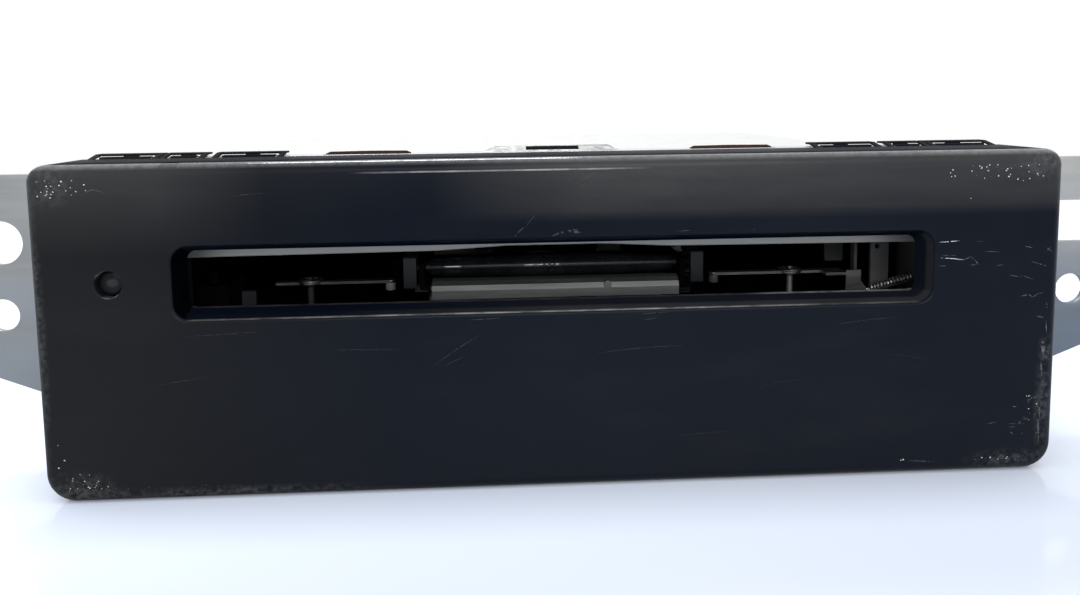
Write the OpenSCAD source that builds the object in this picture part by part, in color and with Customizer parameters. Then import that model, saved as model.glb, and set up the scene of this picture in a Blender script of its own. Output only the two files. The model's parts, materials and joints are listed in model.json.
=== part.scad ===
// Slot-loading disc player for a car dashboard, in millimetres, +Z up, front towards -Y.
// Depths are measured from the front face, and place() moves them to the shared origin.

/* [Front bezel] */
// Distance from the path of the disc to each side of the front
side_margin = 29.8; // [28:0.1:33]
// Height of the front
bezel_h = 58.7; // [57.7:0.1:62]
// Depth of the bezel shell
bezel_d = 17; // [16.5:0.5:19]
// Wall of the bezel
bezel_wall = 2.2; // [1.8:0.1:2.6]
// Radius of the lower corners seen from the front
corner_r = 5; // [4:0.1:7]
// Radius of the upper corners seen from the front
top_r = 3; // [2.6:0.1:5]
// Rounding of the front edge
edge_r = 2; // [1.5:0.1:2.5]

/* [Disc slot] */
// Diameter of the disc it takes
disc_d = 120; // [120:0.5:121]
// Distance from the path of the disc to each end of the bevelled recess
slot_margin = 6.5; // [5.5:0.25:8]
// Height of the bevelled recess on the face
recess_h = 13; // [12.6:0.1:14]
// Depth of the bevelled recess
recess_d = 5; // [4:0.1:5.4]
// How far each bevel narrows the opening
bevel = 1.5; // [1:0.1:1.8]
// Height of the middle of the slot
slot_z = 38.2; // [37.2:0.1:38.7]
// Corner radius of the recess
recess_r = 3; // [2.6:0.1:4]
// Rise of the guide lip from its ends to its middle
lip_arch = 1; // [0.4:0.1:1.4]

/* [Indicator] */
// Distance of the lens from the side of the front
lens_inset = 12.9; // [11.5:0.1:14]
// Diameter of the lens
lens_d = 4.4; // [3:0.1:5]
// How far the lens sits behind the face
lens_recess = 1.1; // [0.5:0.1:1.6]

/* [Chassis] */
// Depth of the steel case behind the front plate
chassis_d = 172; // [168:1:190]
// Height of the top of the cover
cover_z = 54.7; // [54.7:0.1:55.7]
// Thickness of the steel sheet
sheet = 1; // [0.8:0.1:1.2]
// Height of the stamped feet
foot_h = 1.9; // [1.5:0.1:2.7]
// How far the rear socket stands out
socket_out = 4; // [2:0.5:8]

/* [Brackets] */
// Thickness of the bracket plate
ear_t = 1.5; // [1.2:0.1:2]
// Reach of each ear from the bezel
ear_reach = 28.2; // [26:0.1:40]
// Height of the top of the ears
ear_top = 55.7; // [53:0.1:57.7]
// Depth of the front of the ears
ear_y = 22; // [20:0.5:26]
// Distance of the ear holes from the bezel
hole_reach = 16.6; // [15.5:0.1:19]
// Diameter of the fixing holes
fix_hole_d = 6.2; // [5.5:0.1:7]
// Diameter of the locating hole and width of the locating slot
pilot_d = 8.4; // [7:0.1:9]

/* [Disc drive] */
// How far the loaded disc stays behind the face
disc_back = 20; // [19:0.5:24]
// Thickness of the deck plate
deck_t = 1.2; // [1:0.1:1.4]
// Diameter of the turntable
turntable_d = 30; // [28:1:32]
// Travel of the pickup
sled_travel = 34; // [30:1:35]

/* [Loading] */
// Length of the rubber roller
roller_len = 48.6; // [44:0.2:49]
// Radius of the roller at its middle
roller_mid_r = 2.2; // [2:0.1:2.4]
// Radius of the roller at its ends
roller_end_r = 1.5; // [1.4:0.1:1.9]
// Tooth module of the gears
tooth_m = 0.4; // [0.38:0.01:0.42]
// Distance of each lever pivot from the path of the disc's edge
lever_inset = 12.9; // [12:0.1:14]
// Distance of each stopper prong from the middle
prong_x = 27.6; // [27.4:0.1:28.2]

/* [Lever spring] */
// Radius of the spring wire
wire_r = 0.18; // [0.16:0.01:0.2]
// Radius of the curls at the middle of the wire
curl_r = 0.7; // [0.6:0.05:0.9]
// Distance from curl to curl
curl_pitch = 0.82; // [0.82:0.01:0.95]

/* [Hidden] */
$fn = 48;

black_plastic = [0.09, 0.09, 0.1];
dark_grey = [0.22, 0.22, 0.24];
steel = [0.66, 0.67, 0.69];
zinc = [0.74, 0.74, 0.72];
bright = [0.82, 0.83, 0.85];
board_green = [0.1, 0.36, 0.22];
amber = [0.85, 0.5, 0.15];
nylon = [0.9, 0.89, 0.85];
rubber = [0.05, 0.05, 0.05];
clear_lens = [0.75, 0.78, 0.85];

// Clearances
running = 0.3;
sliding = 0.1;

// Case
bezel_w = disc_d + 2 * side_margin;
recess_w = disc_d + 2 * slot_margin;
lens_x = bezel_w / 2 - lens_inset;
plate_y = bezel_d;
case_y = plate_y + sheet;
case_end = case_y + chassis_d;
case_half = bezel_w / 2 - 3.3;
floor_z = foot_h + sheet;
wall_top = cover_z - sheet;
overall_d = case_end + socket_out;
plate_half = bezel_w / 2 - 1;
plate_top = bezel_h - 1;
flange_d = 6;
window_half = disc_d / 2 + 15;

// Heights of the drive, all tied to the slot
deck_top = slot_z - 12.3;
deck_low = deck_top - deck_t;
guide_low = slot_z + 3.9;
guide_t = 0.8;
guide_top = guide_low + guide_t;
deck_half = disc_d / 2 + 12.5;
deck_front = plate_y - 2.5;
spindle_y = disc_d / 2 + disc_back;
sled_y = spindle_y + 17;
sled_len = 26;
screw_motor_len = 9;
deck_end = sled_y + sled_len + sled_travel + screw_motor_len;
wall_half = deck_half - sheet;
lip_half = wall_half - running;
prong_w = 2.5;
prong_t = 1.6;
prong_y = plate_y;
lip_y = prong_y - 4.3;
prong_low = slot_z - 5.3;
prong_top = slot_z + 0.85;
riser_y = prong_y + 6.4;

// Gear train on the roller bracket
roller_y = plate_y + 8;
roller_z = slot_z - 2.8;
roller_teeth = 9;
train_teeth = 20;
gear_face = 2.2;
roller_step = tooth_m * (roller_teeth + train_teeth) / 2;
train_step = tooth_m * train_teeth;
front_angle = -32;
rear_angle = 0;
drive_angle = 5;
front_idler_at = [roller_y, roller_z] + roller_step * [cos(front_angle), sin(front_angle)];
rear_idler_at = front_idler_at + train_step * [cos(rear_angle), sin(rear_angle)];
drive_at = rear_idler_at + train_step * [cos(drive_angle), sin(drive_angle)];
roller_phase = front_angle;
front_phase = meshed(roller_phase, roller_teeth, train_teeth, front_angle);
rear_phase = meshed(front_phase, train_teeth, train_teeth, rear_angle);
drive_phase = meshed(rear_phase, train_teeth, train_teeth, drive_angle);
cheek_x = roller_len / 2 + 0.9;
gear_x = cheek_x + sheet + 0.4;
pulley_x = gear_x + gear_face + 0.2;
pulley_w = 3;
pulley_r = 2.4;
ear_in = pulley_x + pulley_w + running;
shaft_r = 1;
pivot_r = 1.25;
bracket_low = slot_z - 6.5;
bracket_front = plate_y - 5;

// Belt drive and loading motor
belt_t = 0.7;
motor_r = 7.4;
motor_at = [drive_at[0] + 16.5, deck_low - motor_r - 0.9];
belt_angle = atan2(motor_at[1] - drive_at[1], motor_at[0] - drive_at[0]);
belt_len = norm(motor_at - drive_at);
motor_face = pulley_x - 2.4;
motor_len = 22;

// Levers in the slot
lever_x = disc_d / 2 - lever_inset;
lever_y = plate_y + 3;
lever_t = 0.5;
lever_z = slot_z - 4.5;
lever_in = prong_x + prong_w / 2 + 2.9;
lever_pin_r = 0.6;
bush_tip_r = 0.95;
spigot_r = 0.4;
lever_step = slot_z - 9.2;
tail_x0 = lever_x + 9.9;
tail_x1 = tail_x0 + 3;
tail_foot = 1;
tail_y = lever_y - 3.9;
spring_y = tail_y + lever_t / 2;
spring_z = slot_z - 7.5;
spring_rise = 2.7;

// Spindle, clamp and pickup
table_z = slot_z - 2.5;
table_r = turntable_d / 2;
hub_r = 7.4;
clamper_r = 13;
clamp_low = guide_low + 0.1;
clamp_arm_z = guide_top + 1.8;
clamp_y = spindle_y + 72;
clamp_z = clamp_arm_z + 0.5;
clamp_arm_half = 14;
stopper_y = plate_y + 27;
stopper_z = guide_top + 2.2;
stopper_half = prong_x + prong_w / 2;
rod_x = 20;
rod_z = deck_top + 3.6;
rod_r = 1.5;
screw_x = -27.5;
screw_r = 1.3;
rod_end = deck_end - 4;
sled_low = deck_top + 0.8;
sled_h = 5.6;

// Electronics and fixings
board_low = floor_z + 3.8;
board_t = 1.6;
board_top = board_low + board_t;
board_half = deck_half - 4;
board_y0 = case_y + 24;
board_y1 = case_end - 8;
damper_gap = case_half - sheet - deck_half;
damper_r = damper_gap * 5 / 13;
damper_x = deck_half + damper_r;
damper_ys = [plate_y + 14, spindle_y + 70];
damper_low = deck_low - 2;
bush_r = 3;
standoff_in = 6;
board_head_r = 2.4;
socket_half = 21;
socket_x = board_half - standoff_in - board_head_r - 1 - socket_half;
socket_top = board_top + 16;
lens_z = slot_z + 0.15;
lens_stake = 6.5;

// Where the gear that follows must point a tooth so that it meshes with the gear before it.
function meshed(phase, teeth, next_teeth, angle) =
    angle + 180 - 360 / next_teeth * (0.5 - (angle - phase) * teeth / 360);

module place() {
    translate([0, -overall_d / 2, 0])
        children();
}

module block(from, to) {
    translate(from)
        cube(to - from);
}

module rod_along_x(r, x0, x1, y, z) {
    translate([x0, y, z])
        rotate([0, 90, 0])
            cylinder(r = r, h = x1 - x0);
}

module rod_along_y(r, y0, y1, x, z) {
    translate([x, y1, z])
        rotate([90, 0, 0])
            cylinder(r = r, h = y1 - y0);
}

module rod_along_z(r, z0, z1, x, y) {
    translate([x, y, z0])
        cylinder(r = r, h = z1 - z0);
}

module both_sides() {
    children();
    mirror([1, 0, 0])
        children();
}

// Flat outline in X and Z given a thickness along Y.
module upright(y0, t) {
    translate([0, y0 + t, 0])
        rotate([90, 0, 0])
            linear_extrude(t)
                children();
}

// Flat outline in Y and Z given a length along X.
module sideways(x0, len) {
    translate([x0, 0, 0])
        rotate([90, 0, 90])
            linear_extrude(len)
                children();
}

module rounded(w, h, r) {
    square([w - 2 * r, h], center = true);
    square([w, h - 2 * r], center = true);
    for (x = [-1, 1], y = [-1, 1])
        translate([x * (w / 2 - r), y * (h / 2 - r)])
            circle(r);
}

module gear_outline(teeth) {
    tip_r = tooth_m * (teeth / 2 + 0.8);
    root_r = tooth_m * (teeth / 2 - 1.15);
    step = 360 / teeth;
    polygon([for (i = [0:teeth - 1], p = [[root_r, -0.3], [tip_r, -0.11], [tip_r, 0.11], [root_r, 0.3]])
        p[0] * [cos((i + p[1]) * step), sin((i + p[1]) * step)]]);
}

module gear_at(at, teeth, phase, bore) {
    difference() {
        translate([gear_x, at[0], at[1]])
            rotate([90, 0, 90])
                rotate(phase)
                    linear_extrude(gear_face)
                        gear_outline(teeth);
        rod_along_x(bore, gear_x - 1, gear_x + gear_face + 1, at[0], at[1]);
    }
}

// Pan-head screw along X, its head outside and its shank inwards.
module side_screw(x, y, z, head_r, head_h, r, len) {
    rod_along_x(head_r, x, x + head_h, y, z);
    rod_along_x(r, x - len, x + 0.1, y, z);
}

// Round corner of the front block, its front edge eased.
module bezel_corner(r) {
    translate([0, edge_r, 0])
        rotate([90, 0, 0])
            rotate_extrude($fn = 32)
                intersection() {
                    translate([r - edge_r, 0])
                        circle(edge_r, $fn = 32);
                    translate([0, -edge_r])
                        square([r, 2 * edge_r]);
                }
    rod_along_y(r, bezel_d - 1, bezel_d, 0, 0, $fn = 32);
}

// Rounded front block whose hull carries the corner and edge rounding.
module bezel_body() {
    hull()
        for (x = [-1, 1]) {
            translate([x * (bezel_w / 2 - corner_r), 0, corner_r])
                bezel_corner(corner_r);
            translate([x * (bezel_w / 2 - top_r), 0, bezel_h - top_r])
                bezel_corner(top_r);
        }
}

// Funnel of the disc slot, grown by a wall for its outside.
module funnel(grow) {
    hull() {
        translate([0, 0, slot_z])
            upright(-0.5, 0.5)
                rounded(recess_w + 2 * grow, recess_h + 2 * grow, recess_r + grow, $fn = 32);
        translate([0, 0, slot_z])
            upright(recess_d - 0.05, 0.05)
                rounded(recess_w - 2 * bevel + 2 * grow, recess_h - 2 * bevel + 2 * grow,
                    recess_r - bevel + grow, $fn = 32);
    }
}

// Snap loops on the rear of the top wall, one entry each: middle and width.
clip_tabs = [[bezel_w / 2 - 32.8, 13], [bezel_w / 2 - 20.8, 8], [bezel_w / 2 - 10.2, 12.6]];
clip_low = bezel_h + 0.35;
clip_top = bezel_h + 0.75;
barb_half = 1.2;
clip_end = plate_y + 5;
barb_y = plate_y + 2.4;

// Loop whose rails climb from the top wall to a far bar with a barb below it.
module clip_tab(x, w) {
    rail = 1;
    for (rail_x = [x - w / 2, x + w / 2 - rail])
        sideways(rail_x, rail)
            polygon([[bezel_d - 1.5, bezel_h - 1], [bezel_d, bezel_h - 1], [bezel_d, bezel_h],
                [barb_y, clip_low], [barb_y, clip_top], [bezel_d - 1.5, bezel_h]]);
    block([x - w / 2, barb_y - 0.4, clip_low], [x + w / 2, clip_end, clip_top]);
    block([x - barb_half, barb_y, bezel_h - 1], [x + barb_half, barb_y + 1.6, clip_low + 0.1]);
}

module front_bezel() color(black_plastic) place() {
    difference() {
        union() {
            difference() {
                bezel_body();
                translate([0, 0, bezel_h / 2])
                    upright(bezel_wall, bezel_d)
                        rounded(bezel_w - 2 * bezel_wall, bezel_h - 2 * bezel_wall, corner_r - bezel_wall);
            }
            intersection() {
                funnel(1.6);
                block([-bezel_w / 2, 0.4, 0], [bezel_w / 2, recess_d, bezel_h]);
            }
        }
        funnel(0);
        rod_along_y(lens_d / 2 + sliding, -1, bezel_wall + 1, -lens_x, lens_z);
    }
    both_sides()
        for (tab = clip_tabs)
            clip_tab(tab[0], tab[1]);
    for (side = [-1, 1]) {
        rod_along_y(1.6, bezel_wall - 0.5, 6, -lens_x, lens_z + side * lens_stake);
        rod_along_y(0.8, 5.5, 7.8, -lens_x, lens_z + side * lens_stake);
    }
}

module indicator_lens() color(clear_lens) place() {
    rod_along_y(lens_d / 2, lens_recess, bezel_wall + 0.5, -lens_x, lens_z);
    rod_along_y(lens_d / 2 + 1.2, bezel_wall, bezel_wall + 1.2, -lens_x, lens_z);
}

module indicator_board() color(board_green) place() {
    difference() {
        block([-lens_x - 5, 6, lens_z - 9], [-lens_x + 5, 7.2, lens_z + 9]);
        for (side = [-1, 1])
            rod_along_y(0.8, 5, 8, -lens_x, lens_z + side * lens_stake);
    }
}

module indicator_led() color(bright) place() {
    block([-lens_x - 1.6, bezel_wall + 1.5, lens_z - 1.2], [-lens_x + 1.6, 6, lens_z + 1.2]);
}

front_screw_zs = [12.7, bezel_h - 12];

module front_screw_places() {
    for (x = [-1, 1], z = front_screw_zs)
        translate([x * (case_half - 5), 0, z])
            children();
}

// Raised bridge on the flange, sloped to the front and at both ends.
module bridge() {
    half_low = 13;
    half_top = 11;
    intersection() {
        sideways(-half_low, 2 * half_low)
            polygon([[plate_y + 0.5, bezel_h - 0.5], [plate_y + 4.5, bezel_h - 0.5],
                [plate_y + 4.5, bezel_h + 1], [plate_y + 3.2, bezel_h + 1], [plate_y + 0.5, bezel_h + 0.1]]);
        upright(plate_y, flange_d)
            polygon([[-half_low, bezel_h - 0.5], [half_low, bezel_h - 0.5], [half_low, bezel_h + 0.1],
                [half_top, bezel_h + 1], [-half_top, bezel_h + 1], [-half_low, bezel_h + 0.1]]);
    }
}

module front_plate() color(zinc) place() {
    slot_mid = 35.3;
    slot_len = 16.6;
    difference() {
        union() {
            translate([0, 0, 1 + plate_top / 2 - 0.5])
                upright(plate_y, sheet)
                    rounded(2 * plate_half, plate_top - 1, corner_r - 1);
            block([-plate_half + 5, plate_y, plate_top], [plate_half - 5, plate_y + flange_d, bezel_h]);
            block([-plate_half + 5, plate_y, plate_top - 1], [plate_half - 5, plate_y + sheet, bezel_h]);
            bridge();
        }
        block([-window_half, plate_y - 1, deck_low - 3], [window_half, case_y + 1, guide_top + 3.8]);
        block([-stopper_half - 0.8, plate_y - 1, guide_top],
            [stopper_half + 0.8, case_y + 1, stopper_z + 8.6]);
        block([-5, plate_y + 1.3, bezel_h + 0.1], [5, plate_y + 2.9, bezel_h + 2]);
        both_sides() {
            block([slot_mid - slot_len / 2, plate_y + 1.6, plate_top - 1],
                [slot_mid + slot_len / 2, plate_y + 4.6, bezel_h + 1]);
            for (tab = clip_tabs)
                block([tab[0] - barb_half - sliding, barb_y - sliding, plate_top - 1],
                    [tab[0] + barb_half + sliding, barb_y + 1.6 + sliding, bezel_h + 1]);
        }
        front_screw_places()
            rod_along_y(1.5, plate_y - 1, case_y + 1, 0, 0);
    }
}

module front_screws() color(steel) place() {
    front_screw_places() {
        rod_along_y(2.6, plate_y - 1.6, plate_y, 0, 0);
        rod_along_y(1.5, plate_y - 0.1, case_y + sheet + 4, 0, 0);
    }
}

// Amber circuit strip seen through the slots of the front plate.
module front_flex() color(amber) place() {
    block([-46, case_y, plate_top - 0.3], [46, plate_y + flange_d - 0.5, plate_top]);
    block([30, case_y, guide_top + 5], [42, case_y + 0.3, plate_top]);
}

module side_screw_places() {
    for (at = [[ear_y + 22, 18.7], [ear_y + 58, 28.7]])
        translate([0, at[0], at[1]])
            children();
}

cover_screw_ys = [case_y + 40, case_end - 30];
cover_screw_z = wall_top - 7;
standoffs = [for (x = [-1, 1], y = [board_y0 + 6, board_y1 - 6]) [x * (board_half - standoff_in), y]];

module chassis() color(zinc) place() {
    difference() {
        block([-case_half, case_y, foot_h], [case_half, case_end, wall_top]);
        block([-case_half + sheet, case_y - 1, floor_z], [case_half - sheet, case_end - sheet, wall_top + 1]);
        block([socket_x - socket_half - 0.2, case_end - 2 * sheet, board_top - 0.2],
            [socket_x + socket_half + 0.2, case_end + 1, socket_top + 0.2]);
        both_sides() {
            side_screw_places()
                rod_along_x(2, case_half - 2 * sheet, case_half + 1, 0, 0);
            for (y = cover_screw_ys)
                rod_along_x(1.5, case_half - 2 * sheet, case_half + 1, y, cover_screw_z);
            for (i = [0:5])
                block([case_half - 2 * sheet, case_end - 62 + i * 6, 20.7],
                    [case_half + 1, case_end - 59 + i * 6, 36.7]);
        }
        for (i = [0:7])
            block([-70 + i * 6, case_end - 2 * sheet, 22.7], [-67 + i * 6, case_end + 1, 38.7]);
    }
    difference() {
        both_sides()
            for (z = front_screw_zs)
                block([case_half - 10, case_y, z - 4], [case_half - sheet / 2, case_y + sheet, z + 4]);
        front_screw_places()
            rod_along_y(1.5, case_y - 1, case_y + 3, 0, 0);
    }
    for (x = [-1, 1], y = [case_y + 20, case_end - 20])
        rod_along_z(6, 0, foot_h + 0.1, x * (case_half - 20), y);
    difference() {
        for (at = standoffs)
            rod_along_z(3.2, floor_z - 0.1, board_low, at[0], at[1]);
        for (at = standoffs)
            rod_along_z(1.2, floor_z + 0.4, board_low + 1, at[0], at[1]);
    }
}

module top_cover() color(zinc) place() {
    skin = 0.8;
    side = case_half + 0.05;
    front = case_y + sheet + 0.6;
    rear = case_end + 0.05;
    low = wall_top - 12;
    difference() {
        union() {
            block([-side - skin, front, wall_top], [side + skin, rear + skin, cover_z]);
            both_sides()
                block([side, front + 10, low], [side + skin, rear + skin, cover_z]);
            block([-side - skin, rear, low], [side + skin, rear + skin, cover_z]);
        }
        both_sides()
            for (y = cover_screw_ys)
                rod_along_x(1.6, side - 1, side + 2, y, cover_screw_z);
    }
}

module cover_screws() color(steel) place() {
    both_sides()
        for (y = cover_screw_ys)
            side_screw(case_half + 0.85, y, cover_screw_z, 2.8, 1.6, 1.5, 5);
}

bracket_z0 = 7.7;
bracket_z1 = 40.7;

// Ear outline with its sloping lower edge, as seen from the front on the right side.
module ear_outline() {
    outer = bezel_w / 2 + ear_reach;
    slope = 0.39;
    polygon([[case_half, bracket_z0], [outer, bracket_z0 + (outer - case_half) * slope],
        [outer, ear_top - 5], [outer - 5, ear_top], [case_half + 2, ear_top],
        [case_half + 2, bracket_z1], [case_half, bracket_z1]]);
}

fix_x = bezel_w / 2 + hole_reach;
fix_z = 28.5;
pilot_x = fix_x - 0.4;
pilot_z = 42.6;

// Side plate and ear of a bracket, on the right side.
module bracket_plate() {
    difference() {
        union() {
            upright(ear_y, ear_t)
                ear_outline();
            block([case_half, ear_y, bracket_z0], [case_half + ear_t, ear_y + 72, bracket_z1]);
        }
        side_screw_places()
            rod_along_x(2.2, case_half - 1, case_half + ear_t + 1, 0, 0);
        rod_along_y(fix_hole_d / 2, ear_y - 1, ear_y + ear_t + 1, fix_x, fix_z);
    }
}

module left_bracket() color(steel) place() {
    difference() {
        mirror([1, 0, 0])
            bracket_plate();
        rod_along_y(pilot_d / 2, ear_y - 1, ear_y + ear_t + 1, -pilot_x, pilot_z);
    }
}

module right_bracket() color(steel) place() {
    slot_half = 3.8;
    difference() {
        bracket_plate();
        for (x = [-slot_half, slot_half])
            rod_along_y(pilot_d / 2, ear_y - 1, ear_y + ear_t + 1, pilot_x + x, pilot_z);
        block([pilot_x - slot_half, ear_y - 1, pilot_z - pilot_d / 2],
            [pilot_x + slot_half, ear_y + ear_t + 1, pilot_z + pilot_d / 2]);
    }
}

module bracket_screws() color(steel) place() {
    both_sides()
        side_screw_places()
            side_screw(case_half + ear_t, 0, 0, 3.8, 2.2, 2, 6);
}

module main_board() color(board_green) place() {
    difference() {
        block([-board_half, board_y0, board_low], [board_half, board_y1, board_top]);
        for (at = standoffs)
            rod_along_z(1.4, board_low - 1, board_top + 1, at[0], at[1]);
    }
}

module board_screws() color(steel) place() {
    for (at = standoffs) {
        rod_along_z(board_head_r, board_top, board_top + 1.4, at[0], at[1]);
        rod_along_z(1.2, board_low - 2, board_top + 0.1, at[0], at[1]);
    }
}

module board_chips() color(dark_grey) place() {
    for (chip = [[-30, 24, 20, 20, 2.2], [8, 58, 14, 14, 1.8], [-44, 76, 12, 18, 2], [30, 92, 10, 16, 1.8]])
        block([chip[0], board_y0 + chip[1], board_top],
            [chip[0] + chip[2], board_y0 + chip[1] + chip[3], board_top + chip[4]]);
}

module board_capacitors() color(black_plastic) place() {
    for (i = [0:3])
        rod_along_z(4, board_top, board_top + 11, -board_half + 10.5 + i * 10, board_y1 - 22);
    for (i = [0:2])
        rod_along_z(2.5, board_top, board_top + 6, board_half - 22.5 + i * 7, board_y0 + 60);
}

// Finned block that cools the motor driver.
module heat_sink() color(bright) place() {
    x0 = -14;
    y0 = board_y1 - 30;
    block([x0, y0, board_top], [x0 + 26, y0 + 16, board_top + 2]);
    for (i = [0:5])
        block([x0 + i * 5, y0, board_top + 1.9], [x0 + i * 5 + 1, y0 + 16, board_top + 11]);
}

module rear_socket() color(black_plastic) place() {
    wall = 1.6;
    back = board_y1 - 8;
    difference() {
        block([socket_x - socket_half, back, board_top], [socket_x + socket_half, overall_d, socket_top]);
        block([socket_x - socket_half + wall, case_end - 8, board_top + wall],
            [socket_x + socket_half - wall, overall_d + 1, socket_top - wall]);
        for (i = [0:7], z = [3.4, 12.6])
            rod_along_y(0.6, back - 1, case_end, socket_x - 15.4 + i * 4.4, board_top + z);
    }
}

module socket_pins() color(bright) place() {
    for (i = [0:7], z = [3.4, 12.6])
        rod_along_y(0.6, board_y1 - 10, overall_d - 3, socket_x - 15.4 + i * 4.4, board_top + z);
}

flex_x = 34;
flex_y = deck_end - 6;

module ribbon_socket() color(nylon) place() {
    block([flex_x - 9, flex_y - 2.5, board_top], [flex_x + 9, flex_y + 2.5, board_top + 4]);
}

// Ribbon between the floating deck and the main board, with slack for the deck to float.
module flex_cable() color(nylon) place() {
    t = 0.3;
    mid = (board_top + deck_low) / 2;
    block([flex_x - 7, flex_y, board_top + 4], [flex_x + 7, flex_y + t, mid]);
    block([flex_x - 7, flex_y - 5, mid], [flex_x + 7, flex_y + t, mid + t]);
    block([flex_x - 7, flex_y - 5, mid], [flex_x + 7, flex_y - 5 + t, deck_low]);
}

module damper_places() {
    for (x = [-1, 1], y = damper_ys)
        translate([x * damper_x, y, 0])
            children();
}

module damper_posts() color(steel) place() {
    damper_places() {
        rod_along_z(0.8 * damper_r, floor_z, damper_low, 0, 0);
        rod_along_z(1.6, damper_low - 0.1, deck_top + 3.4, 0, 0);
    }
}

module damper_bushes() color(rubber) place() {
    damper_places()
        difference() {
            union() {
                rod_along_z(damper_r, damper_low, deck_low, 0, 0);
                rod_along_z(bush_r, deck_low - 0.1, deck_top + 0.1, 0, 0);
                rod_along_z(damper_r, deck_top, deck_top + 2, 0, 0);
            }
            rod_along_z(1.6, damper_low - 1, deck_top + 3, 0, 0);
        }
}

bay_x0 = screw_x - 5;
bay_x1 = rod_x + 6;
bay_y0 = spindle_y + 14;

module deck_plate() color(steel) place() {
    difference() {
        union() {
            block([-deck_half, deck_front, deck_low], [deck_half, deck_end, deck_top]);
            both_sides() {
                block([wall_half, deck_front, deck_low], [deck_half, deck_end - 4, guide_low]);
                for (y = damper_ys)
                    block([deck_half - 0.1, y - 7, deck_low], [damper_x + 1.2 * damper_r, y + 7, deck_top]);
            }
        }
        damper_places()
            rod_along_z(bush_r, deck_low - 1, deck_top + 1, 0, 0);
        block([-cheek_x - 5, plate_y + 2, deck_low - 1], [ear_in - 0.2, drive_at[0] + 14, deck_top + 1]);
        block([bay_x0, bay_y0, deck_low - 1], [bay_x1, deck_end - 3, deck_top + 1]);
    }
    both_sides() {
        rod_along_z(2.2, deck_top - 0.1, lever_step, lever_x, lever_y);
        rod_along_z(lever_pin_r, lever_step - 0.1, lever_z, lever_x, lever_y);
        rod_along_z(spigot_r, lever_z - 0.1, lever_z + lever_t + 0.8, lever_x, lever_y);
    }
    shaft_ear(1);
    shaft_ear(-1);
    slot_tabs();
}

// Upright ear of the deck that carries one end of the bracket shaft.
module shaft_ear(side) {
    difference() {
        translate([side > 0 ? ear_in : -ear_in - sheet, 0, 0])
            block([0, drive_at[0] - 4, deck_top - 0.1], [sheet, drive_at[0] + 4, drive_at[1] + 3.4]);
        rod_along_x(pivot_r, -ear_in - 3, ear_in + 3, drive_at[0], drive_at[1]);
    }
}

// Tabs bent up from the deck at both ends of the slot.
module slot_tabs() {
    edge = disc_d / 2;
    difference() {
        block([edge + 3.2, plate_y + 2.2, deck_top - 0.1], [edge + 6.8, plate_y + 3, slot_z + 1.2]);
        rod_along_y(0.5, plate_y, plate_y + 5, edge + 4.5, slot_z + 0.5);
    }
    block([edge + 1.4, plate_y + 6, deck_top - 0.1], [edge + 2, plate_y + 8, slot_z + 1.2]);
    block([-edge + 0.4, plate_y + 0.6, deck_top - 0.1], [-edge + 3, plate_y + 1.4, slot_z - 5.2]);
}

// Top guide of the disc path, its front lip raised in the middle and falling a little towards the ends.
module upper_guide() color(steel) place() {
    lip_low = slot_z + 2.3;
    rise_in = 9;
    rise_out = 22;
    shoulder = 0.3 * lip_arch;
    slot_half = prong_w / 2 + 0.6;
    difference() {
        union() {
            upright(lip_y, guide_t)
                polygon([[-lip_half, lip_low], [-rise_out, lip_low + shoulder],
                    [-rise_in, lip_low + lip_arch], [rise_in, lip_low + lip_arch],
                    [rise_out, lip_low + shoulder], [lip_half, lip_low],
                    [lip_half, guide_top], [-lip_half, guide_top]]);
            block([-lip_half, lip_y, guide_low], [lip_half, prong_y + 6, guide_top]);
            block([-deck_half, prong_y + 5, guide_low], [deck_half, deck_end - 6, guide_top]);
            both_sides() {
                block([stopper_half + 1, stopper_y - 4, guide_top - 0.1],
                    [stopper_half + 1 + sheet, stopper_y + 4, stopper_z + 3]);
                block([clamp_arm_half + 1, clamp_y - 4, guide_top - 0.1],
                    [clamp_arm_half + 1 + sheet, clamp_y + 4, clamp_z + 3]);
            }
            block([disc_d / 2 + 0.7, prong_y + 20, slot_z - 5.6],
                [disc_d / 2 + 4.7, prong_y + 20.8, guide_low + 0.1]);
        }
        both_sides()
            block([prong_x - slot_half, lip_y + guide_t, guide_low - 1],
                [prong_x + slot_half, riser_y + prong_t + 1.2, guide_top + 1]);
        block([-clamp_arm_half - 3, spindle_y - 20, guide_low - 1],
            [clamp_arm_half + 3, spindle_y + 58, guide_top + 1]);
        rod_along_x(pivot_r, -stopper_half - 5, stopper_half + 5, stopper_y, stopper_z);
        rod_along_x(pivot_r, -clamp_arm_half - 5, clamp_arm_half + 5, clamp_y, clamp_z);
    }
}

module detect_switch() color(dark_grey) place() {
    x0 = -wall_half;
    y0 = plate_y + 12;
    block([x0, y0, deck_top], [x0 + 6, y0 + 11, deck_top + 6]);
    block([x0 + 2, y0 + 2, deck_top + 5.9], [x0 + 3, y0 + 4, deck_top + 8.4]);
}

module stopper_pin() color(bright) place() {
    rod_along_x(pivot_r, -stopper_half - 3, stopper_half + 3, stopper_y, stopper_z);
}

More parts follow.
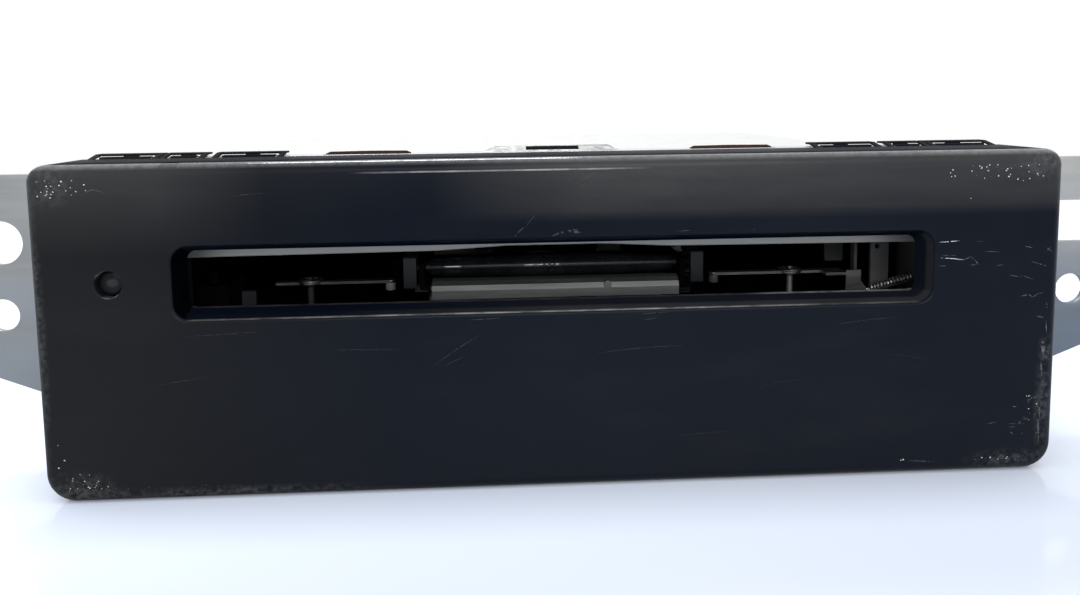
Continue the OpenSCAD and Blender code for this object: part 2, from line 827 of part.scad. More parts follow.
// Swinging gate with two prongs that bar the slot, each hanging from a bent arm.
module disc_stopper() color(black_plastic) place() {
    plate_z = stopper_z - 0.6;
    plate_t = 1.2;
    front = prong_y - prong_t / 2;
    arm_low = prong_top - 0.95;
    difference() {
        union() {
            rod_along_x(1.9, -stopper_half, stopper_half, stopper_y, stopper_z);
            block([-stopper_half, riser_y, plate_z], [stopper_half, stopper_y, plate_z + plate_t]);
            for (side = [-1, 1])
                translate([side * prong_x - prong_w / 2, 0, 0]) {
                    block([0, front, prong_low], [prong_w, front + prong_t, prong_top]);
                    block([0, front, arm_low], [prong_w, riser_y + plate_t, prong_top]);
                    block([0, riser_y, arm_low], [prong_w, riser_y + plate_t, plate_z + 0.1]);
                }
        }
        rod_along_x(pivot_r + sliding, -stopper_half - 1, stopper_half + 1, stopper_y, stopper_z);
        block([-18, riser_y + 5, plate_z - 1], [18, stopper_y - 5, plate_z + 3]);
    }
}

module roller_bracket() color(steel) place() {
    cheek_top = slot_z - 1.3;
    front_half = roller_len / 2 - 1.1;
    difference() {
        union() {
            translate([0, bracket_front, bracket_low])
                sideways(-front_half, 2 * front_half)
                    polygon([[0, 0], [0.8, 0], [0.8, 1.2], [1.1, 1.9], [1.7, 2.45], [2.6, 2.7],
                        [2.6, 3.5], [1.4, 3.2], [0.5, 2.5], [0, 1.6]]);
            block([-front_half, bracket_front, bracket_low], [front_half, roller_y, bracket_low + 0.8]);
            block([-cheek_x - sheet, roller_y - 4.5, bracket_low],
                [cheek_x + sheet, drive_at[0] + 3, bracket_low + 0.8]);
            both_sides()
                block([cheek_x, roller_y - 4.5, bracket_low], [cheek_x + sheet, drive_at[0] + 3, cheek_top]);
            rod_along_y(0.7, bracket_front - 0.2, bracket_front + 0.7, 9.7, slot_z - 4.3);
            for (at = [front_idler_at, rear_idler_at])
                rod_along_x(0.9, cheek_x + sheet - 0.1, gear_x + gear_face + 0.4, at[0], at[1]);
        }
        rod_along_x(shaft_r + sliding, -cheek_x - 3, cheek_x + 3, roller_y, roller_z);
        rod_along_x(pivot_r + sliding, -cheek_x - 3, cheek_x + 3, drive_at[0], drive_at[1]);
    }
}

module bracket_shaft() color(bright) place() {
    rod_along_x(pivot_r, -ear_in - sheet - 0.8, ear_in + sheet + 0.8, drive_at[0], drive_at[1]);
}

// Rubber roller, thicker in the middle along one shallow arc.
module loading_roller() color(rubber) place() {
    half = roller_len / 2;
    rise = roller_mid_r - roller_end_r;
    crown_r = (half * half + rise * rise) / (2 * rise);
    steps = 12;
    profile = [for (i = [0:steps])
        let (x = -half + i * roller_len / steps)
            [roller_mid_r - crown_r + sqrt(crown_r * crown_r - x * x), x]];
    translate([0, roller_y, roller_z])
        rotate([0, 90, 0])
            rotate_extrude()
                polygon(concat([[shaft_r, half], [shaft_r, -half]], profile));
}

module roller_shaft() color(bright) place() {
    rod_along_x(shaft_r, -cheek_x - sheet - 0.8, gear_x + gear_face + 0.2, roller_y, roller_z);
}

module roller_gear() color(nylon) place() {
    gear_at([roller_y, roller_z], roller_teeth, roller_phase, shaft_r);
}

module front_idler() color(nylon) place() {
    gear_at(front_idler_at, train_teeth, front_phase, 0.9 + sliding);
}

module rear_idler() color(nylon) place() {
    gear_at(rear_idler_at, train_teeth, rear_phase, 0.9 + sliding);
}

// Pulley with a flange on each side of its groove.
module pulley(x0, at, bore) {
    difference() {
        union() {
            rod_along_x(pulley_r, x0, x0 + pulley_w, at[0], at[1]);
            rod_along_x(pulley_r + 0.9, x0, x0 + 0.6, at[0], at[1]);
            rod_along_x(pulley_r + 0.9, x0 + pulley_w - 0.6, x0 + pulley_w, at[0], at[1]);
        }
        rod_along_x(bore, x0 - 1, x0 + pulley_w + 1, at[0], at[1]);
    }
}

module drive_gear() color(nylon) place() {
    bore = pivot_r + sliding;
    gear_at(drive_at, train_teeth, drive_phase, bore);
    pulley(pulley_x, drive_at, bore);
    difference() {
        rod_along_x(pulley_r, gear_x + gear_face - 0.1, pulley_x + 0.1, drive_at[0], drive_at[1]);
        rod_along_x(bore, gear_x, pulley_x + 1, drive_at[0], drive_at[1]);
    }
}

// Flat outline of the belt loop, its length along the first axis.
module belt_loop(r) {
    circle(r);
    translate([belt_len, 0])
        circle(r);
    translate([0, -r])
        square([belt_len, 2 * r]);
}

module drive_belt() color(rubber) place() {
    translate([pulley_x + 0.9, drive_at[0], drive_at[1]])
        rotate([90, 0, 90])
            rotate(belt_angle)
                linear_extrude(pulley_w - 1.8)
                    difference() {
                        belt_loop(pulley_r + 0.05 + belt_t);
                        belt_loop(pulley_r + 0.05);
                    }
}

module motor_pulley() color(nylon) place() {
    pulley(pulley_x, motor_at, shaft_r);
    rod_along_x(shaft_r, motor_face + 0.2, pulley_x + pulley_w, motor_at[0], motor_at[1]);
}

module loading_motor() color(steel) place() {
    difference() {
        rod_along_x(motor_r, motor_face - motor_len, motor_face, motor_at[0], motor_at[1]);
        rod_along_x(shaft_r + sliding, motor_face - 2, motor_face + 1, motor_at[0], motor_at[1]);
    }
}

// Plate that hangs the loading motor from the deck.
module motor_bracket() color(zinc) place() {
    difference() {
        block([motor_face, motor_at[0] - 8, motor_at[1] - 6],
            [motor_face + sheet, motor_at[0] + 8, deck_low]);
        rod_along_x(shaft_r + running, motor_face - 1, motor_face + 3, motor_at[0], motor_at[1]);
    }
    block([motor_face - 8, motor_at[0] + 4, deck_low - 0.6], [motor_face + sheet, motor_at[0] + 8, deck_low]);
}

// Lever plate of the right side, from its inner end to the pivot.
module lever_plate(outer) {
    half_w = 1.1;
    difference() {
        union() {
            block([lever_in, lever_y - half_w, lever_z], [outer, lever_y + half_w, lever_z + lever_t]);
            rod_along_z(2.2, lever_z, lever_z + lever_t, lever_x, lever_y);
            rod_along_z(half_w, lever_z, lever_z + lever_t, lever_in, lever_y);
        }
        rod_along_z(spigot_r + sliding, lever_z - 1, lever_z + 3, lever_x, lever_y);
    }
}

module left_lever() color(dark_grey) place() {
    mirror([1, 0, 0])
        lever_plate(lever_x + 6.4);
}

module right_lever() color(dark_grey) place() {
    tail_low = spring_z - 0.6;
    tail_top = lever_z + lever_t + 0.4;
    lever_plate(tail_x0 + 0.4);
    block([tail_x0 - 4, tail_y, lever_z], [tail_x0 + 0.4, lever_y, lever_z + lever_t]);
    upright(tail_y, lever_t)
        polygon([[tail_x0, tail_low], [tail_x1 + tail_foot, tail_low], [tail_x1 + tail_foot, spring_z + 0.5],
            [tail_x1, spring_z + 1.8], [tail_x1, tail_top], [tail_x0, tail_top]]);
}

module left_bush() color(nylon) place() {
    rod_along_z(bush_tip_r, lever_z - 1.5, lever_z, -lever_in, lever_y);
}

module right_bush() color(nylon) place() {
    rod_along_z(bush_tip_r, lever_z - 1.5, lever_z, lever_in, lever_y);
}

// Spring clips on the lever pins, each a thin ring with three arms.
module lever_clips() color(bright) place() {
    z0 = lever_z + lever_t;
    z1 = z0 + 0.35;
    ring_r = 2.5;
    both_sides()
        difference() {
            union() {
                difference() {
                    rod_along_z(ring_r, z0, z1, lever_x, lever_y);
                    rod_along_z(ring_r - 0.45, z0 - 1, z1 + 1, lever_x, lever_y);
                }
                for (angle = [90, 210, 330])
                    translate([lever_x, lever_y, z0])
                        rotate(angle)
                            block([0, -0.5, 0], [ring_r - 0.2, 0.5, z1 - z0]);
            }
            rod_along_z(spigot_r, z0 - 1, z1 + 1, lever_x, lever_y);
        }
}

// Tension spring climbing from the lever tail to the deck wall, its ends running straight on.
spring_x0 = tail_x1 + tail_foot;
spring_x1 = wall_half;
stub = 2 * wire_r;
spring_curls = floor((spring_x1 - spring_x0 - 4 * stub) / curl_pitch);
curl_x0 = (spring_x0 + spring_x1 - spring_curls * curl_pitch) / 2;
rings_per_curl = 8;
spring_coil = [for (i = [0:spring_curls * rings_per_curl])
    let (x = curl_x0 + i * curl_pitch / rings_per_curl, angle = i * 360 / rings_per_curl)
        [x, curl_r * cos(angle),
            curl_r * sin(angle) + spring_rise * (x - spring_x0) / (spring_x1 - spring_x0)]];
spring_path = concat([[spring_x0, 0, 0], [spring_x0 + stub, 0, 0]], spring_coil,
    [[spring_x1 - stub, 0, spring_rise], [spring_x1, 0, spring_rise]]);
spring_last = len(spring_path) - 1;
spring_gap = min([for (i = [0:spring_last], j = [i + 5:1:spring_last])
    norm(spring_path[i] - spring_path[j])]) - 2 * wire_r;
echo(least_spring_gap = spring_gap);

function direction(a, b) = (b - a) / norm(b - a);
function along(i) = direction(spring_path[max(i - 1, 0)], spring_path[min(i + 1, spring_last)]);
function across(d) = direction([0, 0, 0], cross(d, abs(d[0]) > 0.8 ? [0, 0, 1] : [1, 0, 0]));

module lever_spring() color(bright) place() {
    sides = 6;
    rings = [for (i = [0:spring_last])
        let (d = along(i), u = across(d), v = cross(d, u))
            for (s = [0:sides - 1])
                spring_path[i] + wire_r * (u * cos(s * 360 / sides) + v * sin(s * 360 / sides))];
    tube = [for (i = [0:spring_last - 1], s = [0:sides - 1], half = [0, 1])
        let (a = i * sides + s, b = i * sides + (s + 1) % sides)
            half == 0 ? [a, b, a + sides] : [b, b + sides, a + sides]];
    first_cap = [for (s = [1:sides - 2]) [0, s + 1, s]];
    last = spring_last * sides;
    last_cap = [for (s = [1:sides - 2]) [last, last + s, last + s + 1]];
    translate([0, spring_y, spring_z])
        polyhedron(rings, concat(tube, first_cap, last_cap));
}

module spindle_motor() color(steel) place() {
    difference() {
        rod_along_z(12, deck_top, deck_top + 5, 0, spindle_y);
        rod_along_z(1 + sliding, deck_top + 2, deck_top + 6, 0, spindle_y);
    }
}

module turntable() color(dark_grey) place() {
    rod_along_z(1, deck_top + 2.5, table_z - 1.5, 0, spindle_y);
    rod_along_z(4, deck_top + 5.4, table_z - 1.4, 0, spindle_y);
    rod_along_z(table_r, table_z - 1.5, table_z, 0, spindle_y);
    rod_along_z(hub_r, table_z - 0.1, table_z + 1, 0, spindle_y);
    translate([0, spindle_y, table_z + 0.9])
        cylinder(r1 = hub_r, r2 = hub_r - 1.4, h = 0.7);
}

module turntable_mat() color(rubber) place() {
    difference() {
        rod_along_z(table_r - 1, table_z, table_z + 0.3, 0, spindle_y);
        rod_along_z(hub_r + 2, table_z - 1, table_z + 1, 0, spindle_y);
    }
}

module clamp_pin() color(bright) place() {
    rod_along_x(pivot_r, -clamp_arm_half - 3, clamp_arm_half + 3, clamp_y, clamp_z);
}

module clamp_arm() color(zinc) place() {
    neck = 7;
    difference() {
        union() {
            block([-clamp_arm_half, spindle_y, clamp_arm_z], [clamp_arm_half, clamp_y, clamp_arm_z + 1]);
            rod_along_z(clamp_arm_half, clamp_arm_z, clamp_arm_z + 1, 0, spindle_y);
            rod_along_x(2, -clamp_arm_half, clamp_arm_half, clamp_y, clamp_z);
        }
        rod_along_z(neck, clamp_arm_z - 1, clamp_arm_z + 2, 0, spindle_y);
        rod_along_x(pivot_r + sliding, -clamp_arm_half - 1, clamp_arm_half + 1, clamp_y, clamp_z);
        block([-6, spindle_y + 24, clamp_arm_z - 1], [6, clamp_y - 10, clamp_arm_z + 2]);
    }
}

// Disc clamp hanging in the arm, hollow below for the spigot of the turntable.
module clamper() color(black_plastic) place() {
    difference() {
        union() {
            rod_along_z(clamper_r, clamp_low, clamp_arm_z - 0.5, 0, spindle_y);
            rod_along_z(6, clamp_low + 1, clamp_arm_z + 1.1, 0, spindle_y);
            rod_along_z(9, clamp_arm_z + 1, clamp_arm_z + 2, 0, spindle_y);
        }
        rod_along_z(hub_r + 1.4, clamp_low - 1, clamp_low + 1.4, 0, spindle_y);
    }
}

module pickup_sled() color(dark_grey) place() {
    y1 = sled_y + sled_len;
    difference() {
        union() {
            block([-rod_x - 4, sled_y, sled_low], [rod_x + 4, y1, sled_low + sled_h]);
            block([screw_x - 2.6, sled_y + 9, sled_low], [-rod_x, sled_y + 17, sled_low + sled_h]);
        }
        for (side = [-1, 1])
            rod_along_y(rod_r + sliding, sled_y - 1, y1 + 1, side * rod_x, rod_z);
        rod_along_y(screw_r + sliding, sled_y, y1, screw_x, rod_z);
    }
}

module pickup_lens() color(clear_lens) place() {
    top = sled_low + sled_h;
    rod_along_z(3, top, top + 0.8, 0, sled_y + 6);
    translate([0, sled_y + 6, top + 0.7])
        cylinder(r1 = 2.2, r2 = 1.2, h = 0.6);
}

module guide_rods() color(bright) place() {
    for (side = [-1, 1])
        rod_along_y(rod_r, bay_y0 - 3, rod_end, side * rod_x, rod_z);
}

// Blocks on the deck that hold both ends of the guide rods and the front of the lead screw.
module rod_blocks() color(nylon) place() {
    difference() {
        union() {
            for (side = [-1, 1], y = [bay_y0 - 4, deck_end - 3])
                block([side * rod_x - 3, y, deck_top], [side * rod_x + 3, y + 3, rod_z + 2.6]);
            block([screw_x - 2.6, bay_y0 - 4, deck_top], [-rod_x, bay_y0 - 1, rod_z + 2.6]);
            block([screw_x - 4, deck_end - 3, deck_top], [-rod_x, deck_end, rod_z + 2.6]);
        }
        for (side = [-1, 1])
            rod_along_y(rod_r, bay_y0 - 3, rod_end + 2.4, side * rod_x, rod_z);
        rod_along_y(screw_r + sliding, bay_y0 - 3, bay_y0 + 1, screw_x, rod_z);
    }
}

module lead_screw() color(bright) place() {
    rod_along_y(screw_r, bay_y0 - 2.8, deck_end - 2 - screw_motor_len, screw_x, rod_z);
}

module sled_motor() color(steel) place() {
    difference() {
        rod_along_y(3.4, deck_end - 3 - screw_motor_len, deck_end - 3, screw_x, rod_z);
        rod_along_y(screw_r + sliding, deck_end - 4 - screw_motor_len, deck_end - 1 - screw_motor_len,
            screw_x, rod_z);
    }
}

front_bezel();
indicator_lens();
indicator_board();
indicator_led();
front_plate();
front_screws();
front_flex();
chassis();
top_cover();
cover_screws();
left_bracket();
right_bracket();
bracket_screws();
main_board();
board_screws();
board_chips();
board_capacitors();
heat_sink();
rear_socket();
socket_pins();
ribbon_socket();
flex_cable();
damper_posts();
damper_bushes();
deck_plate();
upper_guide();
detect_switch();
disc_stopper();
stopper_pin();
roller_bracket();
bracket_shaft();
loading_roller();
roller_shaft();
roller_gear();
front_idler();
rear_idler();
drive_gear();
drive_belt();
motor_pulley();
loading_motor();
motor_bracket();
left_lever();
right_lever();
left_bush();
right_bush();
lever_clips();
lever_spring();
spindle_motor();
turntable();
turntable_mat();
clamp_arm();
clamp_pin();
clamper();
pickup_sled();
pickup_lens();
guide_rods();
rod_blocks();
lead_screw();
sled_motor();
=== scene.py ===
# Car disc player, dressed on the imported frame, with its stage, light and camera
import json
import math
import random

import bmesh
import bpy
from mathutils import Matrix, Vector


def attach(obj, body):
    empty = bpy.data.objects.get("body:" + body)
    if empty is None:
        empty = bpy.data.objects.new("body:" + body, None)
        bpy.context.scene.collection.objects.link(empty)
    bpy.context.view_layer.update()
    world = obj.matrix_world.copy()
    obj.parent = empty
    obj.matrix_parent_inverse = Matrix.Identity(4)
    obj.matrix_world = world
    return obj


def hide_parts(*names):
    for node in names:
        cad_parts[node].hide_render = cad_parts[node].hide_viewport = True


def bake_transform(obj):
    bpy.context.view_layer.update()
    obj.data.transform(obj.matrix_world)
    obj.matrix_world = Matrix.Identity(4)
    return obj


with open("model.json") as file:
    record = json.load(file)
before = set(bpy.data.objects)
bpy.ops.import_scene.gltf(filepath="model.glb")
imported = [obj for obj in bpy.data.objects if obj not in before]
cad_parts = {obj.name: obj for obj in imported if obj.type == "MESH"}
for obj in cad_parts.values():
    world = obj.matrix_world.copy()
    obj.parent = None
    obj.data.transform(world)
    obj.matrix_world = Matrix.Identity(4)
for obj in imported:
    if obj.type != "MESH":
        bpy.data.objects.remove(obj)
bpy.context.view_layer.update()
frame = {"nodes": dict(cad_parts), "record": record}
nodes = frame["nodes"]
scene = bpy.context.scene
scene.view_settings.view_transform = "Standard"

# Lengths below are in millimetres: depth from the front face, height from a datum just above the floor
HALF_DEPTH = 97.0
LIFT = 0.7
LENS_AT = (-76.9, 37.65)


def at(x, y, z):
    return Vector((x, y - HALF_DEPTH, z + LIFT)) / 1000


# Camera fitted to the photograph: width, focal length and shift in pixels, turns in degrees
PHOTO_W, FOCAL_PX, SHIFT_PX, SENSOR = 1080, 889.6, 107.3, 36
EYE, PAN, TILT, ROLL = (-11.32, -151.64, 67.95), -2.973, -5.847, 0.776


def add_camera():
    turn = (Matrix.Rotation(math.radians(PAN), 3, "Z") @ Matrix.Rotation(math.radians(TILT), 3, "X")
            @ Matrix.Rotation(math.radians(ROLL), 3, "Y"))
    right, forward, up = (turn.col[i] for i in range(3))
    place = Matrix((right, up, -forward)).transposed().to_4x4()
    place.translation = at(*EYE)
    data = bpy.data.cameras.new("photo_camera")
    data.sensor_fit = "HORIZONTAL"
    data.sensor_width = SENSOR
    data.lens = SENSOR * FOCAL_PX / PHOTO_W
    data.shift_y = -SHIFT_PX / PHOTO_W
    data.clip_start = 0.005
    camera = bpy.data.objects.new("photo_camera", data)
    camera.matrix_world = place
    scene.collection.objects.link(camera)
    scene.camera = camera


# Node materials
class Nodes:
    """Nodes and links of one tree."""

    def __init__(self, tree):
        self.tree = tree

    def add(self, kind, links=None, **settings):
        node = self.tree.nodes.new(kind)
        for key, value in settings.items():
            setattr(node, key, value)
        for key, value in (links or {}).items():
            self.put(node, key, value)
        return node

    def put(self, node, key, value):
        if isinstance(value, bpy.types.NodeSocket):
            self.tree.links.new(value, node.inputs[key])
        else:
            node.inputs[key].default_value = value

    def ranged(self, value, low, high, out_low=0.0, out_high=1.0):
        links = {"Value": value, "From Min": low, "From Max": high, "To Min": out_low, "To Max": out_high}
        return self.add("ShaderNodeMapRange", links).outputs["Result"]

    def math(self, kind, a, b, clamp=False):
        return self.add("ShaderNodeMath", {0: a, 1: b}, operation=kind, use_clamp=clamp).outputs[0]

    def surface(self, output, share, a, b):
        """Mix of two shaders as what the tree's output shows."""
        mix = self.add("ShaderNodeMixShader", {"Fac": share, 1: a.outputs[0], 2: b.outputs[0]})
        self.put(self.tree.nodes[output], "Surface", mix.outputs["Shader"])


class Paint(Nodes):
    """A material under making, with its surface shader."""

    def __init__(self, name):
        self.material = bpy.data.materials.new(name)
        self.material.use_nodes = True
        super().__init__(self.material.node_tree)
        self.shader = self.tree.nodes["Principled BSDF"]
        self.where = self.add("ShaderNodeTexCoord").outputs["Object"]

    def set(self, **values):
        for key, value in values.items():
            self.put(self.shader, key.replace("_", " "), value)

    def axes(self):
        """The three coordinates of a place on the part, in metres."""
        outputs = self.add("ShaderNodeSeparateXYZ", {"Vector": self.where}).outputs
        return outputs["X"], outputs["Y"], outputs["Z"]

    def stretched(self, scale, turn=(0, 0, 0)):
        links = {"Vector": self.where, "Scale": scale, "Rotation": turn}
        return self.add("ShaderNodeMapping", links).outputs["Vector"]

    def noise(self, scale, detail=3, rough=0.55, vector=None):
        links = {"Vector": vector or self.where, "Scale": scale, "Detail": detail, "Roughness": rough}
        return self.add("ShaderNodeTexNoise", links).outputs["Fac"]

    def cells(self, scale, output="Color"):
        return self.add("ShaderNodeTexVoronoi", {"Vector": self.where, "Scale": scale}).outputs[output]

    def times(self, first, *others):
        for other in others:
            first = self.math("MULTIPLY", first, other)
        return first

    def plus(self, first, *others):
        """Sum that never passes 1."""
        for other in others:
            first = self.math("ADD", first, other, clamp=True)
        return first

    def band(self, value, low, high, soft):
        """1 where the value lies between low and high, with soft ends."""
        return self.times(self.ranged(value, low - soft, low), self.ranged(value, high + soft, high))

    def mixed(self, share, a, b):
        node = self.add("ShaderNodeMix", {"Factor": share}, data_type="RGBA")
        for key, colour in ((6, a), (7, b)):
            self.put(node, key, colour if isinstance(colour, bpy.types.NodeSocket) else (*colour, 1))
        return node.outputs[2]

    def bump(self, height, strength, distance):
        node = self.add("ShaderNodeBump", {"Height": height, "Strength": strength, "Distance": distance})
        self.set(Normal=node.outputs["Normal"])

    def rolled(self):
        """Streaks of rolled sheet, with their relief."""
        streak = self.noise(700, 3, 0.6, self.stretched((0.1, 1, 1)))
        self.bump(streak, 0.1, 0.00005)
        return streak

    def zone(self, x, z, half_x, half_z):
        """1 in the middle of an ellipse on the front and 0 at its rim, from lengths in millimetres."""
        links = {"Vector": self.where, "Location": (x / 1000, 0, (z + LIFT) / 1000),
                 "Scale": (half_x / 1000, 1, half_z / 1000)}
        vector = self.add("ShaderNodeMapping", links, vector_type="TEXTURE").outputs["Vector"]
        return self.add("ShaderNodeTexGradient", {"Vector": vector}, gradient_type="SPHERICAL").outputs["Fac"]


def bezel_paint():
    """Satin black with moulded grain, a wiped dusty film that is partly a painted reflection, painted shade
    and painted highlights, a polished top edge and rubbed corners.
    """
    p = Paint("bezel_black")
    grain = p.noise(2600, 2)
    broad = p.noise(38, 4, 0.6)
    wiped = p.noise(150, 4, 0.6, p.stretched((0.5, 1, 2.4), turn=(0, 0.5, 0)))
    speckle = p.noise(900, 4, 0.7)
    x, y, z = p.axes()
    away = p.math("ABSOLUTE", x, 0.0)

    # Dusty film and painted reflection of the room, thickest at the upper right and left and a little along
    # the top and the bottom, with a dusty smear and painted light on the slot's lower bevel and right end
    right = p.times(p.ranged(x, -0.022, 0.004), p.ranged(z, 0.0474, 0.0494),
                    p.ranged(z, 0.048, 0.058, 0.4, 0.96), p.ranged(x, 0.02, 0.06, 1.0, 0.74))
    left = p.times(p.ranged(x, -0.05, -0.068), p.ranged(z, 0.043, 0.06, 0.0, 0.72))
    smear = p.noise(60, 4, 0.6, p.stretched((0.45, 1, 1.6), turn=(0, 0.12, 0)))
    inside = p.band(y, -0.0964, -0.0921, 0.0002)
    bevel = p.times(inside, p.ranged(x, -0.04, 0.0),
                    p.plus(p.ranged(z, 0.0336, 0.0332), p.ranged(x, 0.0646, 0.065, 0.0, 0.7)))
    dust_and_painted_reflection = p.plus(p.times(p.plus(right, left), p.ranged(wiped, 0.3, 0.7, 0.82, 1.12)),
                  p.ranged(z, 0.026, 0.002, 0.0, 0.05), p.ranged(z, 0.049, 0.057, 0.0, 0.1),
                  p.ranged(smear, 0.52, 0.72, 0.0, 0.06),
                  p.times(bevel, p.ranged(wiped, 0.3, 0.7, 0.44, 0.62)))

    # Rubbed corners and edges
    spots = ((-86, 55, 6, 5), (-84, 1.5, 9, 4), (-88.8, 30, 1.5, 28), (-60, 0.4, 34, 1.6), (86, 56, 6, 4),
             (87.6, 22, 1.8, 3), (87.4, 12, 2, 12), (81, 1.4, 9, 2.4))
    rub = p.times(p.ranged(speckle, 0.42, 0.7), p.plus(*(p.zone(*spot) for spot in spots)))

    # Broken lines of painted highlight, partly on worn edges, along the slot's edges, the crease of the top
    # edge and the indicator's rim
    broken = p.ranged(p.noise(420, 4, 0.7, p.stretched((0.4, 1, 1))), 0.36, 0.6, 0.25, 1.0)
    outer_edge_highlight = p.times(p.band(z, 0.03177, 0.03183, 0.0001), p.ranged(away, 0.0645, 0.0635),
                         p.ranged(p.zone(0, 31, 70, 30), 0.05, 0.8, 0.16, 0.7))
    inner_edge_highlight = p.times(p.band(z, 0.0330, 0.0333, 0.0001), p.band(y, -0.0927, -0.0919, 0.0002),
                         p.ranged(x, 0.034, 0.04, 0.06, 0.36))
    crease = p.times(p.band(z, 0.05654, 0.0567, 0.0001), p.band(x, -0.024, 0.004, 0.012), 0.65)
    lens_x, lens_z = LENS_AT
    glint = p.plus(p.zone(lens_x - 1.5, lens_z + 1.9, 1.5, 1.2), p.zone(lens_x + 0.7, lens_z - 2.3, 2, 0.9))
    ring = p.times(p.band(p.zone(*LENS_AT, 3, 3), 0.19, 0.215, 0.02), p.ranged(glint, 0, 0.6, 0.05, 0.55))
    lines = p.times(p.plus(outer_edge_highlight, inner_edge_highlight, crease, ring), broken)

    # Colour and shine: a black base with a blue cast that is a painted reflection of the floor, greyed
    # towards the left by a painted reflection, painted shade at the slot's left end, and the top surface dull
    shaded = p.times(inside, p.band(x, -0.0674, -0.0646, 0.0002))
    top = p.ranged(y, -0.0952, -0.0946)
    rim = p.times(p.ranged(z, 0.0577, 0.0582), p.ranged(y, -0.0951, -0.0954))
    base = p.mixed(p.ranged(broad, 0.3, 0.72), (0.0028, 0.0058, 0.0126), (0.0047, 0.008, 0.016))
    left_painted_reflection = p.times(p.ranged(x, -0.028, -0.08, 0.0, 0.85), p.ranged(inside, 0, 1, 1.0, 0.15))
    base = p.mixed(left_painted_reflection, base, (0.0135, 0.0138, 0.0145))
    dust_and_painted_reflection = p.times(dust_and_painted_reflection, p.ranged(top, 0, 1, 1.0, 0.25))
    colour = p.mixed(dust_and_painted_reflection, base, (0.064, 0.0635, 0.0645))
    colour = p.mixed(p.times(shaded, 0.9), colour, (0.0006, 0.001, 0.0018))
    colour = p.mixed(p.times(rub, 0.9), colour, (0.12, 0.122, 0.125))
    colour = p.mixed(lines, colour, (0.62, 0.61, 0.59))
    shine = p.times(p.ranged(top, 0, 1, 0.14, 0.0), p.ranged(p.zone(-34, 47, 60, 16), 0, 0.6, 1.0, 0.6),
                    p.ranged(shaded, 0, 1, 1.0, 0.1))
    p.set(Base_Color=colour,
          Specular_IOR_Level=p.plus(shine, p.times(top, p.ranged(y, -0.093, -0.081, 0.0, 0.003))),
          Roughness=p.plus(p.ranged(broad, 0.3, 0.7, 0.3, 0.38), p.times(rub, 0.3)),
          Coat_Weight=p.times(rim, p.ranged(speckle, 0.3, 0.6, 0.45, 1.0)), Coat_IOR=2.1,
          Coat_Roughness=p.ranged(speckle, 0.3, 0.7, 0.05, 0.13))
    p.bump(p.plus(p.times(grain, 0.5), p.times(rub, 0.5)), 0.14, 0.00006)
    return p.material


def plastic_paint(name, dark, light, rough, specular=0.4):
    p = Paint(name)
    p.set(Base_Color=p.mixed(p.ranged(p.noise(60, 3), 0.3, 0.7), dark, light), Specular_IOR_Level=specular,
          Roughness=p.ranged(p.noise(220, 3), 0.3, 0.7, rough - 0.06, rough + 0.06))
    p.bump(p.noise(900, 2), 0.18, 0.00008)
    return p.material


def sheet_paint(name, dark, light, rough, spangle, stretch, tarnish):
    """Plated sheet: crystal patches, rolled streaks, dull stains and fine scratches."""
    p = Paint(name)
    patch = p.add("ShaderNodeSeparateColor", {"Color": p.cells(spangle)}).outputs["Red"]
    streak = p.noise(700, 3, 0.6, p.stretched(stretch))
    stain = p.noise(45, 5, 0.65)
    colour = p.mixed(p.plus(p.times(patch, 0.45), p.times(streak, 0.4)), dark, light)
    colour = p.mixed(p.ranged(stain, 0.56, 0.8, 0.0, 0.5), colour, tarnish)
    scratch = p.ranged(p.noise(1500, 2, 0.5, p.stretched((0.06, 1, 1), turn=(0.3, 0.2, 0.5))), 0.66, 0.74)
    p.set(Base_Color=p.mixed(p.times(scratch, 0.35), colour, light), Metallic=0.92,
          Roughness=p.plus(p.ranged(streak, 0.25, 0.75, rough - 0.07, rough + 0.07), p.times(patch, 0.07)))
    p.bump(p.plus(p.times(streak, 0.5), p.times(scratch, 0.3)), 0.12, 0.00005)
    return p.material


def plate_paint():
    """Bright plated sheet with a duller bridge and painted shade in the trench in it."""
    p = Paint("plate_zinc")
    streak = p.rolled()
    x, y, z = p.axes()
    away = p.math("ABSOLUTE", x, 0.0)
    bridge = p.times(p.ranged(away, 0.0132, 0.0126), p.ranged(z, 0.05874, 0.05884))
    trench = p.times(p.ranged(away, 0.0052, 0.005), p.band(y, -0.0788, -0.077, 0.0001),
                     p.ranged(z, 0.0587, 0.0588))
    dull = p.mixed(p.ranged(p.noise(500, 3), 0.4, 0.65), (0.24, 0.24, 0.235), (0.5, 0.5, 0.49))
    colour = p.mixed(p.ranged(streak, 0.3, 0.7), (0.6, 0.605, 0.6), (0.78, 0.785, 0.78))
    colour = p.mixed(bridge, colour, dull)
    p.set(Base_Color=p.mixed(trench, colour, (0.02, 0.02, 0.02)), Metallic=0.9,
          Roughness=p.ranged(streak, 0.25, 0.75, 0.28, 0.4))
    return p.material


